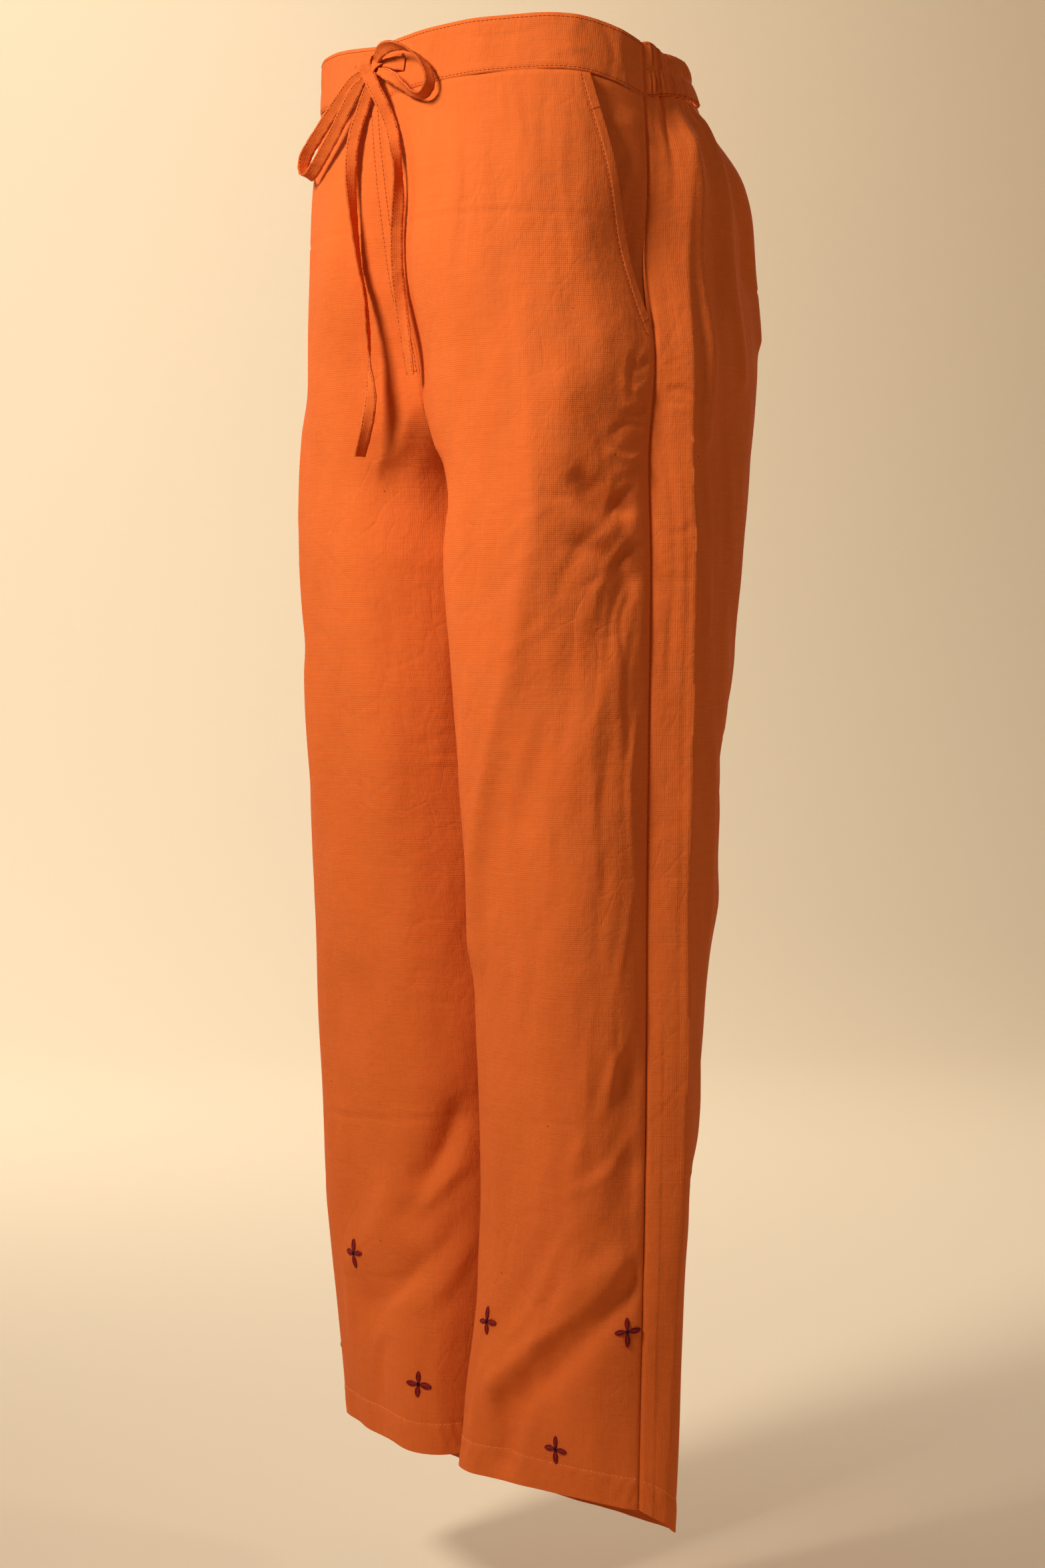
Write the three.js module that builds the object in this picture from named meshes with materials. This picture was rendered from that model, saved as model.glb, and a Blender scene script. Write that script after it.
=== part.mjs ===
// Straight drawstring pants in the hollow shape that they have when worn.
// Millimetres, +Z up. The front faces -Y and the wearer's left is +X.
// The origin is the middle of the waist opening. A level is a depth below it.

import * as THREE from 'three';

// Driving sizes of the garment
const BAND_HEIGHT = 35;
const CROTCH_LEVEL = 272;
const HEM_LEVEL = 940;
const CLOTH_WALL = 2;
const BAND_WALL = 2.5;
const SEAM_GAP = 0.3;
const BAND_GAP = 0.5;
const CLEFT_WIDTH = 38;

// The rise of the waist line has faded out at one level, and the drop of the
// hem starts at the other
const RISE_END_LEVEL = 170;
const DROP_START_LEVEL = 800;

// Folds fade out over these distances, near a panel's seams and below the band
const FOLD_EDGE = 12;
const FOLD_TOP_FADE = 20;

// Pocket: a slanted edge that leaves the side seam and rises to the band
const POCKET_TOP_REACH = 45;
const POCKET_BOTTOM = 196;
const POCKET_CURVE = 0.9;
const POCKET_TUCK = 12;

// Facing: how deep it lies under the pocket edge, and over what width it comes
// out to the surface
const FACING_BOTTOM = 210;
const FACING_DEPTH = 2.6;
const FACING_WALL = 1.6;
const FACING_HIDDEN = 2;
const FACING_BLEND = 25;
const FACING_COLUMNS = 5;

// Elastic at the back of the band: two channels, drawn up into small gathers
const GATHER_COUNT = 36;
const GATHER_HEIGHT = 2;
const GATHER_AT_STITCHES = 0.45;
const GATHER_FADE_START = 0.94;
const CHANNEL_BULGE = 1.6;

// Drawstring tape and its knot
const TAPE_WIDTH = 8.5;
const TAPE_WALL = 1.4;
const TAPE_NECK = 0.4;
const TAPE_NECK_LENGTH = 14;
const KNOT = new THREE.Vector3(1.5, -113.4, -21);
const KNOT_RADII = [6.5, 5.5, 6.5];
const KNOT_SEGMENTS = [14, 9];

// Mesh fineness
const FRONT_COLUMNS = 16;
const BACK_COLUMNS = 20;
const SECTION_SAMPLES = 160;

// One row for each level. A section is the outline of one leg, a rounded lens
// about (centreX, centreY). turn slants it, frontFlat and backFlat square it,
// cleft and rearCleft sink the middle seams, and seamForward is how far the
// side seam lies in front of the outer fold.
const SECTION_COLUMNS = ['level', 'centreX', 'halfWidth', 'centreY', 'turn', 'front', 'back',
  'frontFlat', 'backFlat', 'cleft', 'rearCleft', 'seamForward'];
const SECTIONS = [
  [0, 0, 150, -3, 0, 104, 101, 2.2, 2.2, 0, 0, 0],
  [38, 0, 152, -2, 0, 106, 105, 2.2, 2.2, 1, 0, 0],
  [90, 0, 156, 2, 0, 117, 148, 2.2, 2.2, 14, 3, 3],
  [150, 0, 155, 6, 0, 126, 159, 2.25, 2.2, 28, 6, 10],
  [210, 40, 124, 12, 1, 118, 131, 2.3, 2.2, 26, 6, 18],
  [272, 82.2, 82, 8, 5, 103, 107, 2.4, 2.2, 0, 0, 21],
  [340, 86, 81.5, 4, 8, 97, 97, 2.5, 2.2, 0, 0, 22],
  [450, 88, 83, 4.5, 3, 89, 83, 2.7, 2.2, 0, 0, 22],
  [560, 90, 84, 6.5, -3, 81, 64, 2.9, 2.2, 0, 0, 22],
  [670, 90.5, 83.5, 5, -3, 72, 48, 3.1, 2.3, 0, 0, 21],
  [780, 90.5, 82.5, 0.5, -1, 60, 36, 3.6, 2.3, 0, 0, 21],
  [870, 87.5, 80.5, -9, 9, 47, 30, 4.1, 2.4, 0, 0, 21],
  [940, 86, 80, -17, 17, 34.5, 23.5, 4.5, 2.4, 0, 0, 21],
];

// Rise of the waist line and drop of the hem, by the share of the panel's width
// that lies between its inner edge (0) and the side seam (1)
const WAIST_RISE = {
  front: [[0, -6], [0.25, -1], [0.5, 1], [0.75, 0], [1, -12]],
  back: [[0, -5], [0.5, -6], [0.85, -8], [1, -12]],
};
const HEM_DROP = {
  front: [[0, 0], [0.8, 0], [1, 4]],
  back: [[0, 2], [0.3, 20], [0.86, 22], [0.93, 12], [1, 4]],
};

// Levels at which every panel has a row of points
const PANEL_LEVELS = [BAND_HEIGHT + BAND_GAP, 50, 70, 95, 125, 150, 175, POCKET_BOTTOM, FACING_BOTTOM, 232,
  248, 260, 267, CROTCH_LEVEL, 285, 310, 345, 385, 430, 480, 530, 580, 630, 675, 715, 750, 785, 820,
  860, 900, HEM_LEVEL];
const BAND_LEVELS = [0, BAND_HEIGHT / 4, BAND_HEIGHT / 2, (BAND_HEIGHT * 3) / 4, BAND_HEIGHT];

// Largest folds, one row each: a soft ridge (height above 0) or trough that
// runs over a panel. seam1 and seam2 are the distances from the side seam at
// its two ends, and width is how far it takes to fade out.
const FOLD_COLUMNS = ['panel', 'seam1', 'level1', 'seam2', 'level2', 'width', 'height'];
const FOLDS = [
  ['front_left', 66, 235, 85, 350, 20, 4],
  ['front_left', 85, 350, 121, 445, 20, 5],
  ['front_left', 121, 445, 155, 585, 24, 4],
  ['front_left', 50, 275, 54, 335, 13, -4],
  ['front_left', 24, 300, 88, 398, 10, 3],
  ['front_left', 26, 335, 92, 500, 16, -3],
  ['front_left', 12, 665, 22, 715, 14, -3],
  ['front_left', 12, 725, 34, 778, 14, -3.5],
  ['front_left', 22, 785, 71, 853, 15, -5],
  ['front_left', 71, 853, 104, 905, 15, -4],
  ['front_left', 60, 760, 112, 862, 16, 3],
  ['front_right', 80, 250, 88, 420, 20, 3],
  ['front_right', 88, 420, 118, 600, 24, 3],
  ['front_right', 36, 300, 74, 390, 14, -3],
  ['front_right', 187, 715, 147, 778, 15, -4],
  ['front_right', 147, 818, 100, 850, 15, -4],
  ['front_right', 140, 765, 84, 820, 15, 3],
  ['back_left', 18, 36, 32, 150, 9, 3.5],
  ['back_left', 41, 36, 46, 95, 9, 3],
  ['back_left', 66, 36, 86, 125, 10, 3.5],
  ['back_left', 93, 36, 106, 90, 10, 3],
  ['back_left', 121, 36, 148, 120, 10, 3.5],
  ['back_left', 153, 36, 180, 95, 10, 3],
  ['back_left', 250, 300, 118, 375, 18, -4],
  ['back_left', 235, 350, 84, 470, 20, -4],
  ['back_left', 80, 560, 165, 640, 20, 3],
  ['back_left', 58, 740, 150, 820, 18, -4],
  ['back_right', 20, 36, 36, 130, 9, 3.5],
  ['back_right', 48, 36, 54, 100, 9, 3],
  ['back_right', 76, 36, 98, 140, 10, 3.5],
  ['back_right', 108, 36, 118, 80, 10, 3],
  ['back_right', 138, 36, 160, 110, 10, 3.5],
  ['back_right', 170, 36, 192, 95, 10, 3],
  ['back_right', 240, 305, 130, 365, 18, -4],
  ['back_right', 205, 380, 60, 500, 20, -4],
  ['back_right', 92, 590, 175, 680, 20, 3],
  ['back_right', 66, 770, 155, 860, 18, -4],
];

// Routes of the drawstring: places along the tape's middle, and how far the
// tape is turned about its own run (0 lies flat to the front)
const TAPE_ROUTES = {
  drawstring_lead_left: [
    [28.5, -106.9, -21.5, 0], [24, -108.2, -20.5, 0], [18, -109.4, -19.5, 0], [12.5, -110.6, -19, 0],
    [8.8, -111.6, -19.2, 0],
  ],
  drawstring_lead_right: [
    [-28.5, -106.9, -22, 0], [-23, -108.2, -20.5, 0], [-16, -109.6, -18.5, 0], [-10, -110.8, -18, 0],
    [-5.6, -111.8, -18.8, 0],
  ],
  drawstring_loop_left: [
    [7.3, -114.6, -17.2, 90], [15, -117, -13.5, 90], [24, -118.5, -11.5, 90], [34, -118, -12, 90],
    [44, -115.5, -15.5, 90], [52, -112, -22, 88], [57.5, -110, -30.5, 85], [59, -110, -38.5, 85],
    [53, -110.1, -44.4, 88], [44.5, -111.2, -43.2, 90], [34, -112, -37, 90], [25, -113.5, -30.5, 90],
    [16, -114, -26.3, 90], [8.3, -114, -23.8, 90],
  ],
  drawstring_loop_right: [
    [-5.8, -114.6, -22.2, 90], [-13.5, -116.2, -26.4, 88], [-25, -116.8, -34.5, 84], [-38, -115.8, -42, 80],
    [-52, -113.6, -49.5, 76], [-66, -110.6, -56, 72], [-78, -108, -61.5, 70], [-86, -106.4, -67, 70],
    [-88.5, -106, -73.5, 74], [-84.5, -107.2, -79, 80], [-76, -109.4, -80, 84], [-63, -111.6, -73.5, 88],
    [-50, -113.4, -65, 90], [-37, -114.6, -55, 90], [-25, -115.4, -43.5, 90], [-14.6, -115.2, -33.6, 90],
    [-5, -114.4, -26.2, 90],
  ],
  drawstring_tail_left: [
    [4.6, -118.2, -25.6, 20], [8.5, -117.6, -33, 10], [13, -115, -43, 0], [16.5, -111.6, -54, -20],
    [20, -111, -63, -38], [25, -112.4, -75, -70], [27.8, -112.1, -90, -100], [26, -110.6, -108, -70],
    [19.6, -107.2, -126, -50], [12.8, -102, -147, -42], [9.5, -97.6, -165, -52], [10.5, -94, -191, -20],
    [10.9, -90, -217, 4],
  ],
  drawstring_tail_right: [
    [0.6, -113.6, -28.2, 10], [-4.6, -112.6, -36, 0], [-12, -111.4, -45.5, -10], [-18.4, -112, -57, -25],
    [-23, -112.2, -70.5, -38], [-24.6, -112.2, -90, -80], [-23.8, -110, -118, -110],
    [-22.8, -106.8, -144, -128], [-19.8, -104.4, -164, -132], [-17.9, -103.4, -188, -128],
    [-17, -102.6, -209.5, -150], [-17.2, -101.6, -229.5, -200], [-23.6, -100.6, -249, -240],
    [-33, -99.6, -268, -262],
  ],
};
const TAPE_STEPS_PER_POINT = 2;

// Finish of each kind of piece
const CLOTH = { color: 0xd85c1e, roughness: 0.85, metalness: 0 };
const FACING_CLOTH = { color: 0xc9531a, roughness: 0.85, metalness: 0 };
const TAPE = { color: 0xcf561c, roughness: 0.8, metalness: 0 };

function smoothStep(from, to, value) {
  const share = THREE.MathUtils.clamp((value - from) / (to - from), 0, 1);
  return share * share * (3 - 2 * share);
}

// Smooth curve through the rows of a table, read at one value of its first column
function readTable(table, value) {
  let low = 0;
  while (low < table.length - 2 && table[low + 1][0] <= value) low += 1;
  const slope = (row, column) => {
    const before = table[Math.max(row - 1, 0)];
    const after = table[Math.min(row + 1, table.length - 1)];
    return (after[column] - before[column]) / (after[0] - before[0]);
  };
  const step = table[low + 1][0] - table[low][0];
  const share = THREE.MathUtils.clamp((value - table[low][0]) / step, 0, 1);
  const rest = 1 - share;
  return table[low].map((start, column) => {
    const end = table[low + 1][column];
    const bend = rest * slope(low, column) - share * slope(low + 1, column);
    return (1 + 2 * share) * rest ** 2 * start + share ** 2 * (3 - 2 * share) * end
      + step * share * rest * bend;
  });
}

function sectionAt(level) {
  const values = readTable(SECTIONS, level);
  return Object.fromEntries(SECTION_COLUMNS.map((name, column) => [name, values[column]]));
}

// Outline of the left leg at a level, from the middle seam or the inseam round
// the front to the outer fold and back behind, with the length run so far
function legOutline(level) {
  const section = sectionAt(level);
  const crossing = level < CROTCH_LEVEL ? Math.max(-1, -section.centreX / section.halfWidth) : -1;
  const startAngle = Math.acos(crossing);
  const face = (share, side) => {
    const across = Math.cos(startAngle * (1 - share));
    const x = section.centreX + section.halfWidth * across;
    const depth = side === 'front' ? -section.front : section.back;
    const flat = side === 'front' ? section.frontFlat : section.backFlat;
    const sink = side === 'front' ? Math.max(section.cleft, 0) : -Math.max(section.rearCleft, 0);
    const round = Math.sqrt(Math.max(0, 1 - Math.abs(across) ** flat));
    const y = section.centreY + section.turn * across + depth * round
      + sink * Math.exp(-((x / CLEFT_WIDTH) ** 2));
    return new THREE.Vector2(x + SEAM_GAP / 2, y);
  };
  const points = [];
  for (let i = 0; i < SECTION_SAMPLES; i += 1) points.push(face(i / (SECTION_SAMPLES - 1), 'front'));
  for (let i = SECTION_SAMPLES - 2; i >= 0; i -= 1) points.push(face(i / (SECTION_SAMPLES - 1), 'back'));
  const lengths = [0];
  for (let i = 1; i < points.length; i += 1) lengths.push(lengths[i - 1] + points[i].distanceTo(points[i - 1]));
  const total = lengths[lengths.length - 1];
  const seam = lengths[SECTION_SAMPLES - 1] - section.seamForward;
  return { points, lengths, total, seam };
}

const outlines = new Map();
function outlineAt(level) {
  if (!outlines.has(level)) outlines.set(level, legOutline(level));
  return outlines.get(level);
}

function pointAlong(outline, length) {
  const { points, lengths } = outline;
  let low = 0;
  while (low < lengths.length - 2 && lengths[low + 1] < length) low += 1;
  const share = (length - lengths[low]) / (lengths[low + 1] - lengths[low]);
  return points[low].clone().lerp(points[low + 1], share);
}

// Direction out of the cloth, level with the floor
function outwardAt(outline, length) {
  const reach = 1;
  const before = pointAlong(outline, Math.max(length - reach, 0));
  const after = pointAlong(outline, Math.min(length + reach, outline.total));
  const run = after.sub(before).normalize();
  return new THREE.Vector2(run.y, -run.x);
}

function heightAt(side, across, level) {
  const fade = 1 - smoothStep(BAND_HEIGHT, RISE_END_LEVEL, level);
  const rise = readTable(WAIST_RISE[side], across)[1] * fade;
  const drop = readTable(HEM_DROP[side], across)[1] * smoothStep(DROP_START_LEVEL, HEM_LEVEL, level);
  return rise - drop - level;
}

// How far the folds of a panel lift its cloth, at a distance from the side seam
function foldHeight(panel, fromSeam, level, width) {
  let height = 0;
  for (const row of FOLDS) {
    const fold = Object.fromEntries(FOLD_COLUMNS.map((name, column) => [name, row[column]]));
    if (fold.panel !== panel) continue;
    const here = new THREE.Vector2(fromSeam, level);
    const start = new THREE.Vector2(fold.seam1, fold.level1);
    const run = new THREE.Vector2(fold.seam2, fold.level2).sub(start);
    const along = here.clone().sub(start).dot(run) / run.lengthSq();
    const nearest = start.clone().addScaledVector(run, THREE.MathUtils.clamp(along, 0, 1));
    height += fold.height * Math.exp(-((here.distanceTo(nearest) / fold.width) ** 2));
  }
  const edges = smoothStep(0, FOLD_EDGE, fromSeam) * smoothStep(0, FOLD_EDGE, width - fromSeam);
  return height * edges * smoothStep(BAND_HEIGHT, BAND_HEIGHT + FOLD_TOP_FADE, level);
}

// Length of outline at a share of a panel's width. Both panels count their
// share from the inner edge, so the side seam is at 1 on each.
function lengthAcross(outline, side, across, outerEdge = 0) {
  const inner = SEAM_GAP / 2;
  if (side === 'front') return inner + across * (outline.seam - outerEdge - 2 * inner);
  return outline.total - inner - across * (outline.total - outline.seam - 2 * inner);
}

function pocketReach(level) {
  const share = THREE.MathUtils.clamp((POCKET_BOTTOM - level) / (POCKET_BOTTOM - BAND_HEIGHT), 0, 1);
  return POCKET_TOP_REACH * share ** POCKET_CURVE;
}

// A place on the cloth: x, y, z moved out by a distance
function clothPoint(side, level, length, across, out) {
  const outline = outlineAt(level);
  const place = pointAlong(outline, length).addScaledVector(outwardAt(outline, length), out);
  return new THREE.Vector3(place.x, place.y, heightAt(side, across, level));
}

// Closed wall between two grids of points that have the same rows and columns
function wallGeometry(outer, inner) {
  const rows = outer.length;
  const columns = outer[0].length;
  const positions = [];
  for (const grid of [outer, inner]) {
    for (const row of grid) for (const point of row) positions.push(point.x, point.y, point.z);
  }
  const outerIndex = (row, column) => row * columns + column;
  const innerIndex = (row, column) => rows * columns + row * columns + column;
  const faces = [];
  const quad = (a, b, c, d) => faces.push(a, b, c, a, c, d);
  for (let row = 0; row < rows - 1; row += 1) {
    for (let column = 0; column < columns - 1; column += 1) {
      quad(outerIndex(row, column), outerIndex(row + 1, column),
        outerIndex(row + 1, column + 1), outerIndex(row, column + 1));
      quad(innerIndex(row, column), innerIndex(row, column + 1),
        innerIndex(row + 1, column + 1), innerIndex(row + 1, column));
    }
  }
  for (let row = 0; row < rows - 1; row += 1) {
    quad(outerIndex(row, 0), innerIndex(row, 0), innerIndex(row + 1, 0), outerIndex(row + 1, 0));
    const last = columns - 1;
    quad(outerIndex(row + 1, last), innerIndex(row + 1, last), innerIndex(row, last), outerIndex(row, last));
  }
  for (let column = 0; column < columns - 1; column += 1) {
    quad(outerIndex(0, column + 1), innerIndex(0, column + 1), innerIndex(0, column), outerIndex(0, column));
    const last = rows - 1;
    quad(outerIndex(last, column), innerIndex(last, column),
      innerIndex(last, column + 1), outerIndex(last, column + 1));
  }
  return outwardGeometry(positions, faces);
}

// Geometry whose faces all point out, whichever way round they were listed
function outwardGeometry(positions, faces) {
  const corner = (index) => new THREE.Vector3(...positions.slice(3 * index, 3 * index + 3));
  let volume = 0;
  for (let i = 0; i < faces.length; i += 3) {
    volume += corner(faces[i]).dot(corner(faces[i + 1]).cross(corner(faces[i + 2])));
  }
  if (volume < 0) faces.reverse();
  const geometry = new THREE.BufferGeometry();
  geometry.setAttribute('position', new THREE.Float32BufferAttribute(positions, 3));
  geometry.setIndex(faces);
  geometry.computeVertexNormals();
  return geometry;
}

function mirrored(grid) {
  return grid.map((row) => row.map((point) => new THREE.Vector3(-point.x, point.y, point.z)));
}

// Front or back of one leg. The front stops at the slanted pocket edge.
function legPanel(side, leg, columns) {
  const panel = `${side}_${leg}`;
  const outer = [];
  const inner = [];
  for (const level of PANEL_LEVELS) {
    const outline = outlineAt(level);
    const cut = side === 'front' ? pocketReach(level) : 0;
    const width = side === 'front' ? outline.seam : outline.total - outline.seam;
    const outerRow = [];
    const innerRow = [];
    for (let column = 0; column <= columns; column += 1) {
      const length = lengthAcross(outline, side, column / columns, cut);
      const across = side === 'front' ? length / outline.seam : (outline.total - length) / width;
      const out = foldHeight(panel, Math.abs(outline.seam - length), level, width);
      outerRow.push(clothPoint(side, level, length, across, out));
      innerRow.push(clothPoint(side, level, length, across, out - CLOTH_WALL));
    }
    outer.push(outerRow);
    inner.push(innerRow);
  }
  return leg === 'left' ? wallGeometry(outer, inner) : wallGeometry(mirrored(outer), mirrored(inner));
}

// Cloth that shows in the pocket opening: tucked under the front, flush at the side seam
function pocketFacing(leg) {
  const outer = [];
  const inner = [];
  for (const level of PANEL_LEVELS.filter((height) => height <= FACING_BOTTOM)) {
    const outline = outlineAt(level);
    const reach = pocketReach(level);
    const from = outline.seam - reach - POCKET_TUCK;
    const to = outline.seam - SEAM_GAP / 2;
    const outerRow = [];
    const innerRow = [];
    for (let column = 0; column <= FACING_COLUMNS; column += 1) {
      const length = from + ((to - from) * column) / FACING_COLUMNS;
      const pastEdge = length - (outline.seam - reach);
      const shown = smoothStep(FACING_HIDDEN, Math.max(reach, FACING_BLEND), pastEdge);
      const sink = FACING_DEPTH * (1 - shown);
      const across = length / outline.seam;
      outerRow.push(clothPoint('front', level, length, across, -sink));
      innerRow.push(clothPoint('front', level, length, across, -sink - FACING_WALL));
    }
    outer.push(outerRow);
    inner.push(innerRow);
  }
  return leg === 'left' ? wallGeometry(outer, inner) : wallGeometry(mirrored(outer), mirrored(inner));
}

// Half of the band's points from the middle to the side seam, with gathers at the back
function bandGrid(side, columns) {
  const outer = [];
  const inner = [];
  for (const level of BAND_LEVELS) {
    const outline = outlineAt(level);
    const outerRow = [];
    const innerRow = [];
    for (let column = 0; column <= columns; column += 1) {
      const across = column / columns;
      const length = lengthAcross(outline, side, across);
      let out = 0;
      if (side === 'back') {
        const drawn = 1 - smoothStep(GATHER_FADE_START, 1, across);
        const channel = Math.abs(Math.sin((2 * Math.PI * level) / BAND_HEIGHT));
        const wave = Math.sin((Math.PI * GATHER_COUNT * column) / columns);
        const swell = THREE.MathUtils.lerp(GATHER_AT_STITCHES, 1, channel);
        out = drawn * (channel * CHANNEL_BULGE + GATHER_HEIGHT * wave * swell);
      }
      outerRow.push(clothPoint(side, level, length, across, out));
      innerRow.push(clothPoint(side, level, length, across, out - BAND_WALL));
    }
    outer.push(outerRow);
    inner.push(innerRow);
  }
  return { outer, inner };
}

// Whole front or back of the band, in one piece over the middle
function waistband(side, columns) {
  const half = bandGrid(side, columns);
  const whole = (grid) => {
    const other = mirrored(grid);
    return grid.map((row, index) => {
      const middle = row[0].clone().setX(0);
      return [...other[index].slice(1).reverse(), middle, ...row.slice(1)];
    });
  };
  return wallGeometry(whole(half.outer), whole(half.inner));
}

// Flat tape along a route, narrow where it is drawn into the knot
function tapeGeometry(route, necks) {
  const middle = new THREE.CatmullRomCurve3(route.map(([x, y, z]) => new THREE.Vector3(x, y, z)));
  const steps = (route.length - 1) * TAPE_STEPS_PER_POINT;
  const length = middle.getLength();
  const toFront = new THREE.Vector3(0, -1, 0);
  const positions = [];
  const faces = [];
  for (let step = 0; step <= steps; step += 1) {
    const share = step / steps;
    const place = middle.getPoint(share);
    const run = middle.getTangent(share);
    const spot = share * (route.length - 1);
    const before = Math.min(Math.floor(spot), route.length - 2);
    const turn = THREE.MathUtils.lerp(route[before][3], route[before + 1][3], spot - before);
    const wide = run.clone().cross(toFront).normalize().applyAxisAngle(run, THREE.MathUtils.degToRad(turn));
    const thick = wide.clone().cross(run).normalize();
    const fromStart = necks.start ? smoothStep(0, TAPE_NECK_LENGTH, share * length) : 1;
    const fromEnd = necks.end ? smoothStep(0, TAPE_NECK_LENGTH, (1 - share) * length) : 1;
    const width = TAPE_WIDTH * THREE.MathUtils.lerp(TAPE_NECK, 1, Math.min(fromStart, fromEnd));
    for (const [edge, face] of [[-1, -1], [1, -1], [1, 1], [-1, 1]]) {
      const corner = place.clone().addScaledVector(wide, (edge * width) / 2);
      corner.addScaledVector(thick, (face * TAPE_WALL) / 2);
      positions.push(corner.x, corner.y, corner.z);
    }
  }
  const quad = (a, b, c, d) => faces.push(a, b, c, a, c, d);
  for (let step = 0; step < steps; step += 1) {
    const ring = 4 * step;
    for (let side = 0; side < 4; side += 1) {
      const next = (side + 1) % 4;
      quad(ring + side, ring + next, ring + 4 + next, ring + 4 + side);
    }
  }
  quad(3, 2, 1, 0);
  quad(4 * steps, 4 * steps + 1, 4 * steps + 2, 4 * steps + 3);
  return outwardGeometry(positions, faces);
}

function knotGeometry() {
  const lump = new THREE.SphereGeometry(1, ...KNOT_SEGMENTS);
  lump.scale(...KNOT_RADII);
  lump.translate(KNOT.x, KNOT.y, KNOT.z);
  return lump;
}

const pants = new THREE.Group();
function addPiece(name, geometry, finish) {
  const piece = new THREE.Mesh(geometry, new THREE.MeshStandardMaterial(finish));
  piece.name = name;
  pants.add(piece);
}

for (const leg of ['left', 'right']) {
  addPiece(`front_${leg}`, legPanel('front', leg, FRONT_COLUMNS), CLOTH);
  addPiece(`back_${leg}`, legPanel('back', leg, BACK_COLUMNS), CLOTH);
  addPiece(`pocket_facing_${leg}`, pocketFacing(leg), FACING_CLOTH);
}
addPiece('waistband_front', waistband('front', FRONT_COLUMNS), CLOTH);
addPiece('waistband_back', waistband('back', GATHER_COUNT * 2), CLOTH);
addPiece('drawstring_knot', knotGeometry(), TAPE);
for (const [name, route] of Object.entries(TAPE_ROUTES)) {
  const necks = { start: !name.includes('lead'), end: name.includes('loop') || name.includes('lead') };
  addPiece(name, tapeGeometry(route, necks), TAPE);
}

export default pants;
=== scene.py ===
# %% [markdown]
# # Straight drawstring pants
# These are straight cotton pants in the hollow shape that they have when
# someone wears them. The solids of the frame give that shape. This script
# dresses it: thin cloth with its creases, a drawstring, sewing, embroidery
# and the finishes. Sizes in the tables are millimetres, and Blender's own
# unit is the metre, so every mesh is scaled by MM when it is made.

# %% Load the frame
import math

import bpy
import numpy as np
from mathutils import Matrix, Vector


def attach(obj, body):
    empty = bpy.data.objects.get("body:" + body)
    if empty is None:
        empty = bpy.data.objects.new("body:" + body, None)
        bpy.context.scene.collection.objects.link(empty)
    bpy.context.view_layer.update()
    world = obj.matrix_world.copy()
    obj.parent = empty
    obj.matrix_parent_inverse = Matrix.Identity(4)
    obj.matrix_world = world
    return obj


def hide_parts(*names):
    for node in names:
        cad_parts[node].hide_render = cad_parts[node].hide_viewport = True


MM = 0.001
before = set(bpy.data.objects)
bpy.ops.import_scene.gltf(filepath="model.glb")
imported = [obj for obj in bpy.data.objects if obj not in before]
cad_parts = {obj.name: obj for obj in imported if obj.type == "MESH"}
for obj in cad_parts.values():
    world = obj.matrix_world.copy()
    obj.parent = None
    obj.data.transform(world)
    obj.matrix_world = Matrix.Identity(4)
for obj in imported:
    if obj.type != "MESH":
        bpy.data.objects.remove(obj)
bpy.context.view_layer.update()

# %% [markdown]
# ## The camera
# The picture is taken from the wearer's left, 52 degrees round from the front
# and about level with the thighs. A long lens two metres away keeps the legs
# nearly parallel. The camera is aimed a little down instead of shifted, since
# other views keep a shift.

# %% Camera
EYE_AZIMUTH = math.radians(52)
EYE_DISTANCE = 2.0
EYE_HEIGHT = -0.389
AIM_RIGHT = 0.0045
AIM_DOWN = 0.0488
LENS = 67.93

eye = Vector((math.sin(EYE_AZIMUTH), -math.cos(EYE_AZIMUTH), 0)) * EYE_DISTANCE
eye.z = EYE_HEIGHT
picture_right = Vector((math.cos(EYE_AZIMUTH), math.sin(EYE_AZIMUTH), 0))
aim = Vector((-math.sin(EYE_AZIMUTH), math.cos(EYE_AZIMUTH), -AIM_DOWN)) + picture_right * AIM_RIGHT
bpy.ops.object.camera_add(location=eye, rotation=aim.to_track_quat("-Z", "Y").to_euler())
camera = bpy.context.object
camera.data.lens = LENS
bpy.context.scene.camera = camera
print("camera at", [round(value, 3) for value in eye])

# %% [markdown]
# ## Meshes from grids of points
# Cloth and tape are both easiest to make as a grid of points: rows down the
# cloth, columns across it. One helper turns such a grid into a mesh with a UV
# map in metres, so that threads and slubs in the finish follow the cloth. A
# Solidify modifier then gives cloth its thickness, towards the inside.

# %% Helpers for grids


def deselect_all():
    bpy.ops.object.select_all(action="DESELECT")


def only(piece):
    deselect_all()
    piece.select_set(True)
    bpy.context.view_layer.objects.active = piece


def mesh_piece(name, points, faces, uvs=None):
    """A piece from points in millimetres. uvs has one pair for each point."""
    mesh = bpy.data.meshes.new(name)
    mesh.from_pydata((np.asarray(points) * MM).tolist(), [], faces)
    if uvs is not None:
        layer = mesh.uv_layers.new(name="cloth")
        corners = np.zeros(len(mesh.loops), dtype=np.int32)
        mesh.loops.foreach_get("vertex_index", corners)
        layer.data.foreach_set("uv", (np.asarray(uvs) * MM)[corners].astype(np.float32).ravel())
    mesh.update()
    piece = bpy.data.objects.new(name, mesh)
    bpy.context.scene.collection.objects.link(piece)
    return piece


def grid_faces(rows, columns, closed=False):
    faces = []
    last = columns if closed else columns - 1
    for row in range(rows - 1):
        for column in range(last):
            beside = (column + 1) % columns
            faces.append((row * columns + column, (row + 1) * columns + column,
                          (row + 1) * columns + beside, row * columns + beside))
    return faces


def smooth_by_angle(piece, degrees=45):
    only(piece)
    bpy.ops.object.shade_smooth_by_angle(angle=math.radians(degrees))


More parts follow.
